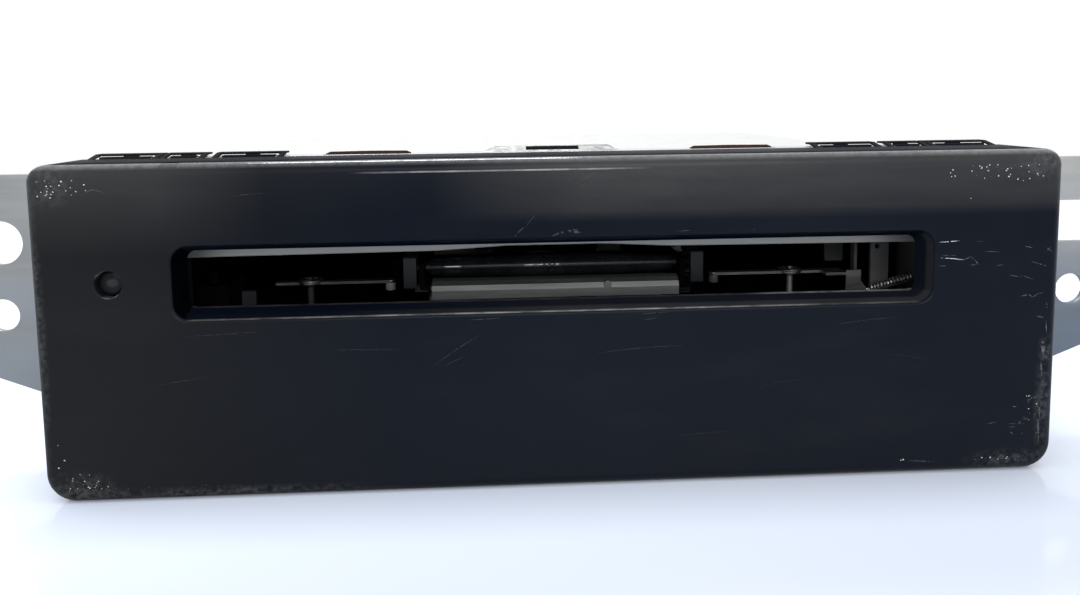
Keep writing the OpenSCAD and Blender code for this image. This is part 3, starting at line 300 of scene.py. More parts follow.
def shaded_sheet(name, dark, light, rough, axis, start, end, shade, metallic=0.92, keep=False, left=0.0):
    """Dull sheet whose tone changes along an axis, such as into the shadow of the case.

    Its shine goes as well unless it is kept, and the left half can be in shadow throughout."""
    p = Paint(name)
    streak = p.rolled()
    x, y, z = p.axes()
    along = {"X": p.math("ABSOLUTE", x, 0.0), "Y": y, "Z": z}[axis]
    into_shade = p.ranged(along, start / 1000, end / 1000)
    if left:
        into_shade = p.math("MAXIMUM", into_shade, p.ranged(x, 0.02, -0.02, 0.0, left))
    colour = p.mixed(p.ranged(streak, 0.3, 0.7), dark, light)
    colour = p.mixed(p.ranged(p.noise(60, 4, 0.6), 0.5, 0.75, 0.0, 0.4), colour, dark)
    p.set(Base_Color=p.mixed(into_shade, colour, shade), Metallic=metallic,
          Roughness=p.ranged(streak, 0.25, 0.75, rough - 0.06, rough + 0.06))
    if not keep:
        p.set(Metallic=p.ranged(into_shade, 0, 1, metallic, 0.0),
              Specular_IOR_Level=p.ranged(into_shade, 0, 1, 0.5, 0.0))
    return p.material


def guide_paint():
    """Satin sheet with painted shade behind its lip, and nicked spots along parts of the lip's lower edge
    painted as bright glints.
    """
    p = Paint("satin_guide")
    streak = p.rolled()
    x, y, z = p.axes()
    into_shade = p.ranged(y, -0.083, -0.08)
    nicks_and_glints = p.times(p.plus(p.band(x, -0.0427, -0.0314, 0.002), p.band(x, 0.0304, 0.0369, 0.002)),
                    p.band(z, 0.0399, 0.0406, 0.0001),
                    p.ranged(p.noise(1300, 3, 0.7, p.stretched((0.5, 1, 1))), 0.5, 0.58))
    colour = p.mixed(p.ranged(streak, 0.3, 0.7), (0.44, 0.446, 0.436), (0.5, 0.506, 0.496))
    colour = p.mixed(into_shade, colour, (0.2, 0.2, 0.2))
    p.set(Base_Color=p.mixed(nicks_and_glints, colour, (0.95, 0.95, 0.93)), Metallic=p.ranged(into_shade, 0, 1, 0.25, 0.0),
          Specular_IOR_Level=p.ranged(into_shade, 0, 1, 0.5, 0.0),
          Roughness=p.ranged(streak, 0.25, 0.75, 0.36, 0.48))
    return p.material


def rubber(name, dark, light, smooth, rough, specular):
    """Rubber with a dusty bloom, as a Paint that can take more."""
    p = Paint(name)
    bloom = p.noise(140, 4, 0.6)
    p.set(Base_Color=p.mixed(p.ranged(bloom, 0.35, 0.75), dark, light),
          Roughness=p.ranged(bloom, 0.3, 0.7, smooth, rough), Specular_IOR_Level=specular)
    p.bump(p.noise(1400, 3), 0.12, 0.00004)
    return p


def roller_paint():
    """Dark rubber with bands that discs have worn shiny."""
    p = rubber("roller_rubber", (0.007, 0.009, 0.011), (0.02, 0.024, 0.028), 0.22, 0.32, 0.26)
    x = p.axes()[0]
    worn = p.times(p.band(x, -0.005, 0.001, 0.001), p.ranged(p.noise(1500, 2), 0.45, 0.6))
    worn = p.plus(worn, p.band(x, -0.021, -0.0186, 0.0006))
    p.set(Coat_Weight=worn, Coat_IOR=1.9, Coat_Roughness=0.1)
    return p.material


def metal_paint(name, dark, light, rough, turning=(1, 1, 1), scale=1600):
    p = Paint(name)
    line = p.noise(scale, 3, 0.6, p.stretched(turning))
    grime = p.noise(170, 4, 0.6)
    colour = p.mixed(p.ranged(line, 0.3, 0.7), dark, light)
    colour = p.mixed(p.ranged(grime, 0.58, 0.8, 0.0, 0.45), colour, (0.12, 0.115, 0.105))
    p.set(Base_Color=colour, Metallic=1.0, Roughness=p.ranged(grime, 0.3, 0.7, rough, rough + 0.12))
    p.bump(line, 0.08, 0.00003)
    return p.material


def board_paint():
    """Green solder mask over copper tracks, with pads."""
    p = Paint("circuit_board_green")
    black, white = (0, 0, 0, 1), (1, 1, 1, 1)
    bricks = {"Vector": p.where, "Scale": 120.0, "Mortar Size": 0.06, "Color1": black, "Color2": black,
              "Mortar": white}
    tracks = p.add("ShaderNodeTexBrick", bricks).outputs["Fac"]
    pads = p.ranged(p.cells(330, output="Distance"), 0.14, 0.2, 1.0, 0.0)
    colour = p.mixed(p.ranged(p.noise(90, 3), 0.3, 0.7), (0.006, 0.055, 0.03), (0.01, 0.075, 0.042))
    colour = p.mixed(p.times(tracks, 0.7), colour, (0.03, 0.16, 0.08))
    p.set(Base_Color=p.mixed(pads, colour, (0.5, 0.48, 0.42)), Roughness=p.ranged(pads, 0, 1, 0.3, 0.4),
          Metallic=p.times(pads, 0.8))
    p.bump(p.plus(tracks, p.times(pads, 0.5)), 0.3, 0.00005)
    return p.material


def flex_paint():
    """Amber film with copper lines below its surface."""
    p = Paint("amber_film")
    waves = {"Vector": p.where, "Scale": 260.0, "Distortion": 0.4, "Detail": 1.0}
    lines = p.add("ShaderNodeTexWave", waves, bands_direction="Y").outputs["Fac"]
    colour = p.mixed(p.ranged(lines, 0.45, 0.6), (0.62, 0.2, 0.03), (0.78, 0.36, 0.09))
    p.set(Base_Color=p.mixed(p.ranged(p.noise(120, 3), 0.4, 0.75), colour, (0.5, 0.16, 0.03)),
          Roughness=p.ranged(p.noise(300, 2), 0.3, 0.7, 0.25, 0.4), Coat_Weight=0.4)
    p.bump(lines, 0.15, 0.00004)
    return p.material


def nylon_paint():
    p = Paint("natural_nylon")
    cloud = p.noise(130, 3)
    p.set(Base_Color=p.mixed(p.ranged(cloud, 0.3, 0.7), (0.6, 0.585, 0.53), (0.72, 0.71, 0.67)),
          Roughness=p.ranged(cloud, 0.3, 0.7, 0.36, 0.5), Subsurface_Weight=0.15,
          Subsurface_Radius=(0.0008, 0.0007, 0.0005))
    p.bump(p.noise(1100, 2), 0.12, 0.00005)
    return p.material


def lens_paint():
    p = Paint("clear_lens")
    haze = p.noise(520, 3, 0.6)
    p.set(Base_Color=p.mixed(p.ranged(haze, 0.35, 0.75), (0.3, 0.34, 0.45), (0.5, 0.54, 0.62)),
          Roughness=p.ranged(haze, 0.3, 0.75, 0.06, 0.26), Coat_Weight=0.6, Coat_Roughness=0.08)
    p.bump(haze, 0.05, 0.00003)
    return p.material


def indicator_paint():
    """Nearly black window with a paler die behind it, a little right of its middle."""
    p = Paint("smoky_lens")
    haze = p.noise(520, 3, 0.6)
    die = p.times(p.ranged(p.zone(LENS_AT[0] + 0.35, LENS_AT[1] + 0.1, 1.2, 0.95), 0.05, 0.4),
                  p.ranged(p.noise(1400, 3), 0.35, 0.6, 0.4, 1.0))
    colour = p.mixed(p.ranged(haze, 0.35, 0.75), (0.005, 0.0055, 0.0065), (0.009, 0.0095, 0.0105))
    p.set(Base_Color=p.mixed(die, colour, (0.04, 0.041, 0.043)), Specular_IOR_Level=0.2,
          Roughness=p.ranged(haze, 0.3, 0.75, 0.3, 0.45))
    p.bump(haze, 0.05, 0.00003)
    return p.material


def scuff_paint(name, dark, light):
    p = Paint(name)
    flake = p.noise(2200, 3, 0.7)
    p.set(Base_Color=p.mixed(p.ranged(flake, 0.35, 0.65), dark, light),
          Roughness=p.ranged(flake, 0.3, 0.7, 0.5, 0.7), Specular_IOR_Level=0.3)
    p.bump(flake, 0.2, 0.00004)
    return p.material


# Paints of the pieces, of the slots, and of single nodes that differ from their slot
BEZEL = bezel_paint()
SCUFF = scuff_paint("bezel_scuff", (0.045, 0.047, 0.05), (0.16, 0.163, 0.17))
FAINT = scuff_paint("bezel_haze", (0.024, 0.025, 0.028), (0.085, 0.087, 0.09))
CHIP = scuff_paint("bezel_chip", (0.6, 0.61, 0.62), (0.86, 0.87, 0.88))
PAINTS = {
    "black_plastic": plastic_paint("moulded_black", (0.007, 0.0075, 0.009), (0.013, 0.0135, 0.015), 0.38),
    "dark_plastic": plastic_paint("moulded_dark_grey", (0.028, 0.028, 0.031), (0.046, 0.046, 0.05), 0.45),
    "lever_steel": metal_paint("blackened_strip", (0.1, 0.1, 0.11), (0.24, 0.24, 0.25), 0.3, (0.1, 1, 1)),
    "lens": indicator_paint(),
    "lamp": plastic_paint("white_package", (0.66, 0.66, 0.6), (0.8, 0.8, 0.76), 0.35),
    "circuit_board": board_paint(),
    "zinc_sheet": sheet_paint("galvanised_sheet", (0.44, 0.45, 0.455), (0.66, 0.67, 0.67), 0.34, 260,
                              (1, 0.12, 1), (0.36, 0.36, 0.35)),
    "steel_sheet": sheet_paint("plated_sheet", (0.3, 0.312, 0.325), (0.47, 0.48, 0.49), 0.38, 420,
                               (0.1, 1, 1), (0.24, 0.25, 0.26)),
    "screw_steel": metal_paint("plated_screw", (0.42, 0.42, 0.42), (0.62, 0.62, 0.61), 0.28),
    "bright_steel": metal_paint("ground_steel", (0.5, 0.51, 0.53), (0.72, 0.73, 0.75), 0.16, (0.1, 1, 1)),
    "motor_steel": metal_paint("drawn_can", (0.36, 0.365, 0.375), (0.52, 0.525, 0.53), 0.28, (0.15, 1, 1)),
    "rubber": rubber("black_rubber", (0.006, 0.006, 0.007), (0.024, 0.024, 0.024), 0.26, 0.4, 0.45).material,
    "nylon": nylon_paint(),
    "amber_flex": flex_paint(),
    "aluminium": metal_paint("extruded_alloy", (0.5, 0.505, 0.51), (0.68, 0.685, 0.69), 0.32, (1, 0.1, 1)),
}
# Ears of one plated sheet as painted light: the right one a lighter copy, and both darker and bluer towards
# the bottom as a painted reflection
EARS = {
    -1: shaded_sheet("left_ear_painted_light", (0.45, 0.462, 0.465), (0.5, 0.512, 0.515), 0.46, "Z", 50, 20,
                    (0.38, 0.405, 0.43), keep=True),
    1: shaded_sheet("right_ear_painted_light", (0.55, 0.556, 0.55), (0.6, 0.606, 0.6), 0.46, "Z", 48, 24,
                   (0.23, 0.268, 0.32), keep=True),
}
# The cover as a paler copy of the galvanised sheet, a painted glare
GLARE_COVER = sheet_paint("cover_with_painted_glare", (0.84, 0.845, 0.83), (0.93, 0.935, 0.92), 0.3, 260, (1, 0.12, 1),
                    (0.74, 0.745, 0.72))
WIRE = metal_paint("spring_wire", (0.5, 0.5, 0.51), (0.8, 0.8, 0.81), 0.34, (1, 1, 1), 900)
FILM = plastic_paint("film_edge", (0.012, 0.005, 0.004), (0.06, 0.016, 0.01), 0.4)
# Near black for painted shade on parts deep inside the case
SHADE_BLACK = ((0.004, 0.004, 0.0045), (0.008, 0.008, 0.009))
OWN_PAINTS = {
    "pickup_lens": lens_paint(),
    "upper_guide": guide_paint(),
    "loading_roller": roller_paint(),
    "lever_clips": metal_paint("dark_clip", (0.1, 0.1, 0.105), (0.24, 0.24, 0.245), 0.34),
    # Painted shade: pins and shafts deep inside made nearly black
    "stopper_pin": metal_paint("pin_in_painted_shade", (0.03, 0.03, 0.032), (0.07, 0.07, 0.073), 0.5),
    "bracket_shaft": metal_paint("shaft_in_painted_shade", (0.015, 0.015, 0.016), (0.035, 0.035, 0.036), 0.6),
    "roller_shaft": metal_paint("roller_shaft_in_painted_shade", (0.04, 0.04, 0.042), (0.09, 0.09, 0.093), 0.5),
    "disc_stopper": plastic_paint("prong_black", (0.004, 0.0055, 0.009), (0.008, 0.0095, 0.014), 0.42),
    # Painted shade: the switch, idler and gear made nearly black
    "detect_switch": plastic_paint("switch_in_painted_shade", (0.003, 0.003, 0.0035), (0.006, 0.006, 0.007), 0.5, 0.1),
    "front_idler": plastic_paint("idler_in_painted_shade", *SHADE_BLACK, 0.45, 0.15),
    "roller_gear": plastic_paint("gear_in_painted_shade", *SHADE_BLACK, 0.45, 0.15),
    "right_lever": metal_paint("lit_strip", (0.18, 0.18, 0.19), (0.36, 0.36, 0.37), 0.3, (0.1, 1, 1)),
    "front_plate": plate_paint(),
    # Lit and shaded copies of one bush: painted light on the left one, painted shade on the right one
    "left_bush": plastic_paint("bush_painted_lit", (0.15, 0.15, 0.145), (0.2, 0.2, 0.195), 0.4),
    "right_bush": plastic_paint("bush_painted_shaded", (0.06, 0.06, 0.06), (0.09, 0.09, 0.088), 0.4),
    # Painted shade on the bracket's cheeks and on the deck towards the rear and over its left half
    "roller_bracket": shaded_sheet("bracket_with_painted_shade", (0.2, 0.205, 0.205), (0.26, 0.265, 0.265), 0.42, "X",
                                  23.9, 24.1, (0.006, 0.0065, 0.008)),
    "deck_plate": shaded_sheet("deck_with_painted_shade", (0.15, 0.152, 0.158), (0.21, 0.212, 0.218), 0.56, "Y",
                              -73.5, -71, (0.004, 0.005, 0.007), 0.6, left=0.85),
}


# Mesh helpers: the angle from which an edge is sharp, and steps of front rings and bends
SHARP = 38
ARC_STEPS, LONG_STEPS, SHORT_STEPS, BEND_STEPS = 10, 48, 14, 6


def turns(count):
    """Angles of a full turn in equal steps."""
    return [2 * math.pi * i / count for i in range(count)]


def mesh_from(bm, name):
    mesh = bpy.data.meshes.new(name)
    bm.to_mesh(mesh)
    bm.free()
    return mesh


def evaluated(obj):
    """Mesh of an object with its modifiers or curve settings applied."""
    bpy.context.view_layer.update()
    return bpy.data.meshes.new_from_object(obj.evaluated_get(bpy.context.evaluated_depsgraph_get()))


def make(name, bm, slot, material=None, replaced=(), smooth=SHARP, ride=True):
    """Piece from bm, on the case unless ride is off, in place of the replaced nodes."""
    bmesh.ops.recalc_face_normals(bm, faces=bm.faces)
    mesh = mesh_from(bm, name)
    mesh.shade_smooth()
    mesh.set_sharp_from_angle(angle=math.radians(smooth))
    mesh.materials.append(material or PAINTS[slot])
    obj = bpy.data.objects.new(name, mesh)
    scene.collection.objects.link(obj)
    if ride:
        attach(obj, "case")
    if replaced:
        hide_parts(*replaced)
    return obj


def loft(bm, rings, closed=False, caps=False):
    """Skin through rings that have the same count of points."""
    grid = [[bm.verts.new(at(*point)) for point in ring] for ring in rings]
    for a, b in zip(grid, grid[1:] + (grid[:1] if closed else [])):
        for i in range(len(a)):
            j = (i + 1) % len(a)
            bm.faces.new((a[i], a[j], b[j], b[i]))
    if caps:
        bm.faces.new(grid[0])
        bm.faces.new(reversed(grid[-1]))


def front_ring(w, h, r, y, middle_z, top_r=None):
    """Rounded rectangle facing the front, with the same count of points for every size."""
    points = []
    corners = [(sx * w / 2, middle_z + sz * h / 2, sx, sz, top_r if top_r and sz > 0 else r)
               for sx, sz in ((1, -1), (1, 1), (-1, 1), (-1, -1))]
    for k, (x, z, sx, sz, own) in enumerate(corners):
        arc = [math.radians(90 * k - 90 + 90 / ARC_STEPS * i) for i in range(ARC_STEPS + 1)]
        points += [(x - sx * own + own * math.cos(a), y, z - sz * own + own * math.sin(a)) for a in arc]
        x, z, sx, sz, own = corners[(k + 1) % 4]
        end = (x - sx * own + own * math.cos(arc[-1]), y, z - sz * own + own * math.sin(arc[-1]))
        count = LONG_STEPS if k % 2 else SHORT_STEPS
        start = points[-1]
        points += [tuple(s + (e - s) * i / count for s, e in zip(start, end)) for i in range(1, count)]
    return points


def between(a, b, share):
    """Ring part of the way from one ring to another."""
    return [tuple(p + (q - p) * share for p, q in zip(m, n)) for m, n in zip(a, b)]


def block(bm, low, high, r):
    """Box with rounded edges."""
    made = bmesh.ops.create_cube(bm, size=1)["verts"]
    low, high = at(*low), at(*high)
    for v in made:
        v.co = Vector((l + (h - l) * (c + 0.5) for l, h, c in zip(low, high, v.co)))
    edges = list(dict.fromkeys(e for v in made for e in v.link_edges))
    bmesh.ops.bevel(bm, geom=edges, offset=r / 1000, segments=2, profile=0.5, affect="EDGES")


def prism(bm, x0, x1, profile):
    """Profile of depth and height drawn across the part, with its ends eased."""
    edge, end = 0.12, 0.93
    middle = [sum(p[k] for p in profile) / len(profile) for k in (0, 1)]
    rings = []
    for x, share in ((x0, end), (x0 + edge, 1), (x1 - edge, 1), (x1, end)):
        rings.append([(x, *(m + (c - m) * share for m, c in zip(middle, p))) for p in profile])
    loft(bm, rings, caps=True)


def turned(bm, profile, centre, axis, count):
    """Profile of radius and distance turned about an axis through a point."""
    axis = Vector(axis).normalized()
    side = axis.orthogonal().normalized()
    other = axis.cross(side)
    rings = []
    for r, d in profile:
        spokes = [(side * math.cos(a) + other * math.sin(a)) * max(r, 0.001) for a in turns(count)]
        rings.append([Vector(centre) + axis * d + spoke for spoke in spokes])
    loft(bm, rings, caps=True)


def tube(bm, path, r, sides):
    """Round wire along a path of points, with its ends closed."""
    path = [Vector(p) for p in path]
    up = Vector((0, 0, 1))
    rings = []
    for i, p in enumerate(path):
        along = (path[min(i + 1, len(path) - 1)] - path[max(i - 1, 0)]).normalized()
        u = up - along * up.dot(along)
        u = u.normalized() if u.length > 1e-3 else along.orthogonal().normalized()
        up = u
        v = along.cross(u)
        rings.append([p + r * (u * math.cos(a) + v * math.sin(a)) for a in turns(sides)])
    loft(bm, rings, caps=True)


def cut(obj, bm):
    """Cuts the solid in bm out of obj for good."""
    bmesh.ops.recalc_face_normals(bm, faces=bm.faces)
    mesh = mesh_from(bm, "cutter")
    tool = bpy.data.objects.new("cutter", mesh)
    scene.collection.objects.link(tool)
    change = obj.modifiers.new("cut", "BOOLEAN")
    change.object = tool
    change.solver = "EXACT"
    result = evaluated(obj)
    obj.modifiers.clear()
    old = obj.data
    result.name = old.name
    obj.data = result
    bpy.data.meshes.remove(old)
    bpy.data.objects.remove(tool)
    bpy.data.meshes.remove(mesh)


def rounded_outline(points, radii, steps=5):
    """Outline with each corner rounded by its own radius."""
    out = []
    for i, (p, r) in enumerate(zip(points, radii)):
        p = Vector(p)
        before = Vector(points[i - 1]) - p
        after = Vector(points[(i + 1) % len(points)]) - p
        if r <= 0:
            out.append(p)
            continue
        half = before.angle(after) / 2
        back = min(r / math.tan(half), before.length * 0.49, after.length * 0.49)
        a, b = p + before.normalized() * back, p + after.normalized() * back
        for k in range(steps + 1):
            t = k / steps
            out.append(a * (1 - t) ** 2 + p * 2 * t * (1 - t) + b * t * t)
    return [(v[0], v[1]) for v in out]


def circle(x, y, r, count=28):
    return [(x + r * math.cos(a), y + r * math.sin(a)) for a in turns(count)]


def capsule(x0, y0, x1, y1):
    """Slot with round ends filling the given rectangle."""
    r = min(x1 - x0, y1 - y0) / 2
    return rounded_outline([(x0, y0), (x1, y0), (x1, y1), (x0, y1)], [r] * 4, 6)


def folded(bm, outline, holes, t, edge, bends, place):
    """Flat pattern cut from sheet, its edges eased, then folded by a right angle at each bend.

    A bend is (coordinate, start, way, radius, side): past start in that way the sheet turns to its side."""
    curve = bpy.data.curves.new("pattern", "CURVE")
    curve.dimensions = "2D"
    curve.fill_mode = "BOTH"
    curve.extrude = t / 2 - edge
    curve.bevel_depth = edge
    curve.bevel_resolution = 1
    curve.offset = -edge
    for loop in [outline] + holes:
        spline = curve.splines.new("POLY")
        spline.points.add(len(loop) - 1)
        for point, (u, v) in zip(spline.points, loop):
            point.co = (u, v, 0, 1)
        spline.use_cyclic_u = True
    holder = bpy.data.objects.new("pattern", curve)
    scene.collection.objects.link(holder)
    flat = evaluated(holder)
    own = bmesh.new()
    own.from_mesh(flat)
    bpy.data.objects.remove(holder)
    bpy.data.curves.remove(curve)
    bpy.data.meshes.remove(flat)
    bmesh.ops.remove_doubles(own, verts=own.verts, dist=0.0005)
    for axis, start, way, radius, side in bends:
        arc = radius * math.pi / 2
        normal = Vector((1 - axis, axis, 0))
        for i in range(BEND_STEPS + 1):
            line = normal * (start + way * arc * i / BEND_STEPS)
            bmesh.ops.bisect_plane(own, geom=own.verts[:] + own.edges[:] + own.faces[:], dist=1e-5,
                                   plane_co=line, plane_no=normal)
    for v in own.verts:
        for axis, start, way, radius, side in bends:
            past = (v.co[axis] - start) * way
            if past <= 0:
                continue
            arc = radius * math.pi / 2
            a = min(past / radius, math.pi / 2)
            lever = radius - side * v.co.z
            v.co[axis] = start + way * lever * math.sin(a)
            v.co.z = side * (radius - lever * math.cos(a) + max(past - arc, 0))
            break
    for v in own.verts:
        v.co = at(*place(*v.co))
    part = mesh_from(own, "part")
    bm.from_mesh(part)
    bpy.data.meshes.remove(part)


def ease(name, width):
    """Eases the edges of a carried-over node with modifiers."""
    obj = nodes[name]
    weld = obj.modifiers.new("weld", "WELD")
    weld.merge_threshold = 0.000004
    bevel = obj.modifiers.new("ease", "BEVEL")
    bevel.width = width / 1000
    bevel.segments = 2
    bevel.limit_method = "ANGLE"
    bevel.angle_limit = math.radians(SHARP)
    bevel.use_clamp_overlap = True


# Front bezel: its face, the radius of its front edge, the slot and the outline
FACE_Y = 0.03
EDGE_R = 2.0
SLOT_W, SLOT_H, SLOT_Z, SLOT_R = 130, 10, 37.5, 1.5
BEZEL_W, BEZEL_H, BEZEL_Z = 179.6, 58.7, 28.65
LOW_R, TOP_R, LEAST_R = 5, 3, 0.6
CLIPS = ((57, 13), (69, 8), (79.6, 12.6))


def bezel():
    def slot_ring(grow, y):
        return front_ring(SLOT_W + 2 * grow, SLOT_H + 2 * grow, SLOT_R + grow, y, SLOT_Z)

    def outer_ring(inset, y):
        low, top = max(LOW_R - inset, LEAST_R), max(TOP_R - inset, LEAST_R)
        return front_ring(BEZEL_W - 2 * inset, BEZEL_H - 2 * inset, low, y, BEZEL_Z, top)

    rings = [slot_ring(*pair) for pair in ((0.25, 5.0), (0.0, 4.75), (0.06, 4.5), (0.5, 3.3), (1.1, 1.4))]
    start, corner, end = (1.34, 0.55), (1.5, FACE_Y), (2.05, FACE_Y)
    for i in range(6):
        t = i / 5
        rings.append(slot_ring(*[(1 - t) ** 2 * s + 2 * t * (1 - t) * c + t * t * e
                                 for s, c, e in zip(start, corner, end)]))
    inner, outer = rings[-1], outer_ring(EDGE_R, FACE_Y)
    rings += [between(inner, outer, share) for share in (0.03, 0.3, 0.65, 0.94, 0.985)]
    for i in range(10):
        a = math.radians(10 * i)
        rings.append(outer_ring(EDGE_R * (1 - math.sin(a)), FACE_Y + EDGE_R * (1 - math.cos(a))))
    rings += [outer_ring(*pair) for pair in ((0, 3.4), (0, 10), (0, 16.4), (0.05, 16.75), (0.3, 17.0),
                                             (1.9, 17.0), (2.15, 16.8), (2.2, 16.4), (2.2, 3.0), (2.5, 2.25))]
    rings += [between(outer_ring(2.9, 2.2), slot_ring(2.44, 2.2), share) for share in (0.0, 0.5, 1.0)]
    rings += [slot_ring(2.1, 3.4), slot_ring(1.6, 5.0)]
    bm = bmesh.new()
    loft(bm, rings, closed=True)
    obj = make("bezel_shell", bm, "black_plastic", BEZEL, replaced=("front_bezel",), smooth=30)
    hole = bmesh.new()
    x, z = LENS_AT
    turned(hole, [(2.44, -1), (2.44, FACE_Y), (2.4, 0.12), (2.34, 0.26), (2.3, 0.45), (2.3, 4)],
           (x, 0, z), (0, 1, 0), 48)
    cut(obj, hole)
    obj.data.shade_smooth()
    obj.data.set_sharp_from_angle(angle=math.radians(30))

    # Snap loops along the top rear edge: two arms, a bar, a web and a barb each, and the posts of the lens
    arm = ((15.5, 57), (17, 57), (17, 58), (19.4, 58.35), (19.4, 58.75), (15.5, 58))
    barb = ((19.4, 57.25), (19.65, 57), (20.4, 57), (21, 57.7), (21, 58.5), (19.4, 58.5))
    bm = bmesh.new()
    for side in (-1, 1):
        for middle, w in CLIPS:
            x = side * middle
            for start in (x - w / 2, x + w / 2 - 1):
                prism(bm, start, start + 1, arm)
            block(bm, (x - w / 2, 19, 58.35), (x + w / 2, 22, 58.75), 0.15)
            block(bm, (x - w / 2 + 1.6, 16.9, 57.4), (x + w / 2 - 1.6, 18.4, 58.32), 0.15)
            prism(bm, x - 1.2, x + 1.2, barb)
        turned(bm, [(1.6, 2), (1.6, 5.9), (1.5, 6), (0.8, 6), (0.8, 7.6), (0.6, 7.8)],
               (LENS_AT[0], 0, LENS_AT[1] + side * 6.5), (0, 1, 0), 20)
    make("bezel_clips", bm, "black_plastic", BEZEL)


def lens():
    x, z = LENS_AT
    bm = bmesh.new()
    turned(bm, [(0, 1.2), (0.9, 1.22), (1.6, 1.3), (2.0, 1.42), (2.15, 1.52), (2.2, 1.7), (2.2, 2.2),
                (3.35, 2.22), (3.4, 2.4), (3.4, 3.3), (3.2, 3.4), (0, 3.4)], (x, 0, z), (0, 1, 0), 40)
    make("indicator_window", bm, "lens", replaced=("indicator_lens",))


# Marks lying on the flat of the face: clouds of flecks, by middle, half sizes, count and fleck size,
# then strokes, by their two ends, width and bow
MARK_Y = 0.008
FLAT_X, FLAT_LOW, FLAT_TOP = 87.4, 1.6, 55.6
MARKS = (
    ("bezel_chips", CHIP, (
        (-85.6, 54.4, 2, 1.6, 13, 0.13), (-82.4, 53.8, 3.4, 2, 9, 0.15), (76, 54.2, 3.4, 1.4, 12, 0.13),
        (82.6, 54, 3.6, 1.6, 14, 0.15), (68.4, 54.2, 2, 0.8, 4, 0.14), (-84.2, 3.6, 2.6, 2, 9, 0.14),
        (-80.6, 2.4, 2, 0.9, 8, 0.15), (-86, 9, 1, 4, 3, 0.16), (84.6, 12, 2.2, 1.6, 7, 0.13),
        (78.5, 1.9, 3, 0.3, 5, 0.13), (61.7, 2.1, 0.6, 0.1, 2, 0.17), (72.6, 49.5, 0.1, 0.1, 1, 0.18),
    ), (
        (-82.4, 54.3, -82.8, 53.5, 0.24), (67.2, 41.8, 70.9, 42.0, 0.16), (67.5, 39.0, 71.9, 38.6, 0.16),
    )),
    ("bezel_scuffs", SCUFF, (
        (-85, 54, 2.6, 2, 20, 0.11), (80, 54.4, 7, 1.6, 24, 0.1), (-82.6, 2.6, 4, 1.6, 26, 0.13),
        (86, 11.6, 1.4, 2, 14, 0.16), (84, 8, 3, 2, 7, 0.14), (81, 1.9, 6, 0.4, 26, 0.13),
        (-70, 1.8, 8, 0.3, 9, 0.1),
    ), (
        (-80.4, 52.7, -76, 52.6, 0.14, 1.2), (67.7, 39.4, 71.1, 39.4, 0.12), (71.9, 38.6, 73, 39.1, 0.16),
        (73, 39.1, 73.9, 38.3, 0.22), (73.9, 38.3, 74.4, 37.6, 0.3), (82.8, 40.8, 84.3, 40.4, 0.16),
        (75.4, 40.0, 78.4, 39.8, 0.1), (84.1, 38.0, 87.3, 37.0, 0.16), (80.1, 35.6, 82.5, 35.2, 0.14),
        (82.6, 35.5, 84.6, 34.7, 0.14), (67.1, 37.6, 68.6, 37.5, 0.12), (86.9, 23.4, 87.1, 20.8, 0.8),
        (86.7, 19.5, 87, 16.9, 0.4), (86.8, 11.2, 86.9, 9, 0.5), (86.6, 9.1, 86.9, 4.5, 0.4),
        (81.5, 11.4, 82.7, 11.3, 0.26), (83.6, 8.9, 84.7, 9.1, 0.16), (77.3, 8.3, 78.9, 8.6, 0.2),
        (81.2, 8.2, 84.1, 8.1, 0.14), (81.2, 7.6, 82.4, 7.5, 0.18), (62.7, 1.9, 67.6, 1.5, 0.14),
        (82.5, 31.7, 83.9, 32, 0.2), (83.9, 32, 84.6, 31.5, 0.24), (84.6, 31.5, 85.7, 32.1, 0.22),
        (85.7, 32.1, 86.8, 32.35, 0.16), (85.6, 28, 86.8, 27.7, 0.28), (86.9, 40.4, 87.9, 39.6, 0.16),
        (86.7, 39.7, 87.6, 40.5, 0.14), (87.2, 30.5, 87.4, 29.4, 0.3), (87.3, 27.1, 87.5, 24.9, 0.3),
        (73.7, 41.8, 75.2, 41.8, 0.08), (77.5, 37.4, 79.1, 37.5, 0.1), (72.8, 37.6, 74.3, 37.6, 0.14),
        (-64, 28.4, -52, 28.9, 0.05), (-70, 20, -60, 21.4, 0.04), (6, 23.4, 22, 24.4, 0.05, 0.3),
        (-40, 25.4, -28, 25.1, 0.05), (48, 27.2, 60, 28.4, 0.05, 0.3), (20, 8, 30, 8.6, 0.04),
    )),
    ("bezel_haze_lines", FAINT, (), (
        (-1.5, 44.4, 3, 45.5, 0.5, 0.2), (1.4, 45.2, 3.7, 44.9, 0.6), (20.3, 44.8, 22.8, 44.9, 0.16),
        (33.9, 45.1, 33.9, 44.5, 0.16), (-7.9, 44.4, -5.6, 46.4, 0.2, 0.2),
        (-5.8, 46.4, -4.4, 48.1, 0.16), (2.6, 53.2, 6.9, 55.4, 0.32, 0.2), (3.4, 52.9, 5.6, 53.9, 0.18),
        (1.2, 54, 2.6, 54.6, 0.2), (-22.1, 22.2, -14.2, 27.3, 0.14, 0.2), (-20.4, 22, -17, 23.6, 0.12),
        (-15.9, 30.0, -10.7, 30.2, 0.16), (13.8, 30.3, 19.1, 30.5, 0.18), (14.6, 29.2, 17, 29.6, 0.14),
        (40, 53.6, 44, 54, 0.1), (-56, 52.4, -50, 52.8, 0.08), (34, 16, 46, 17.5, 0.05, 0.6),
        (58, 22, 66, 20.6, 0.05),
    )),
)


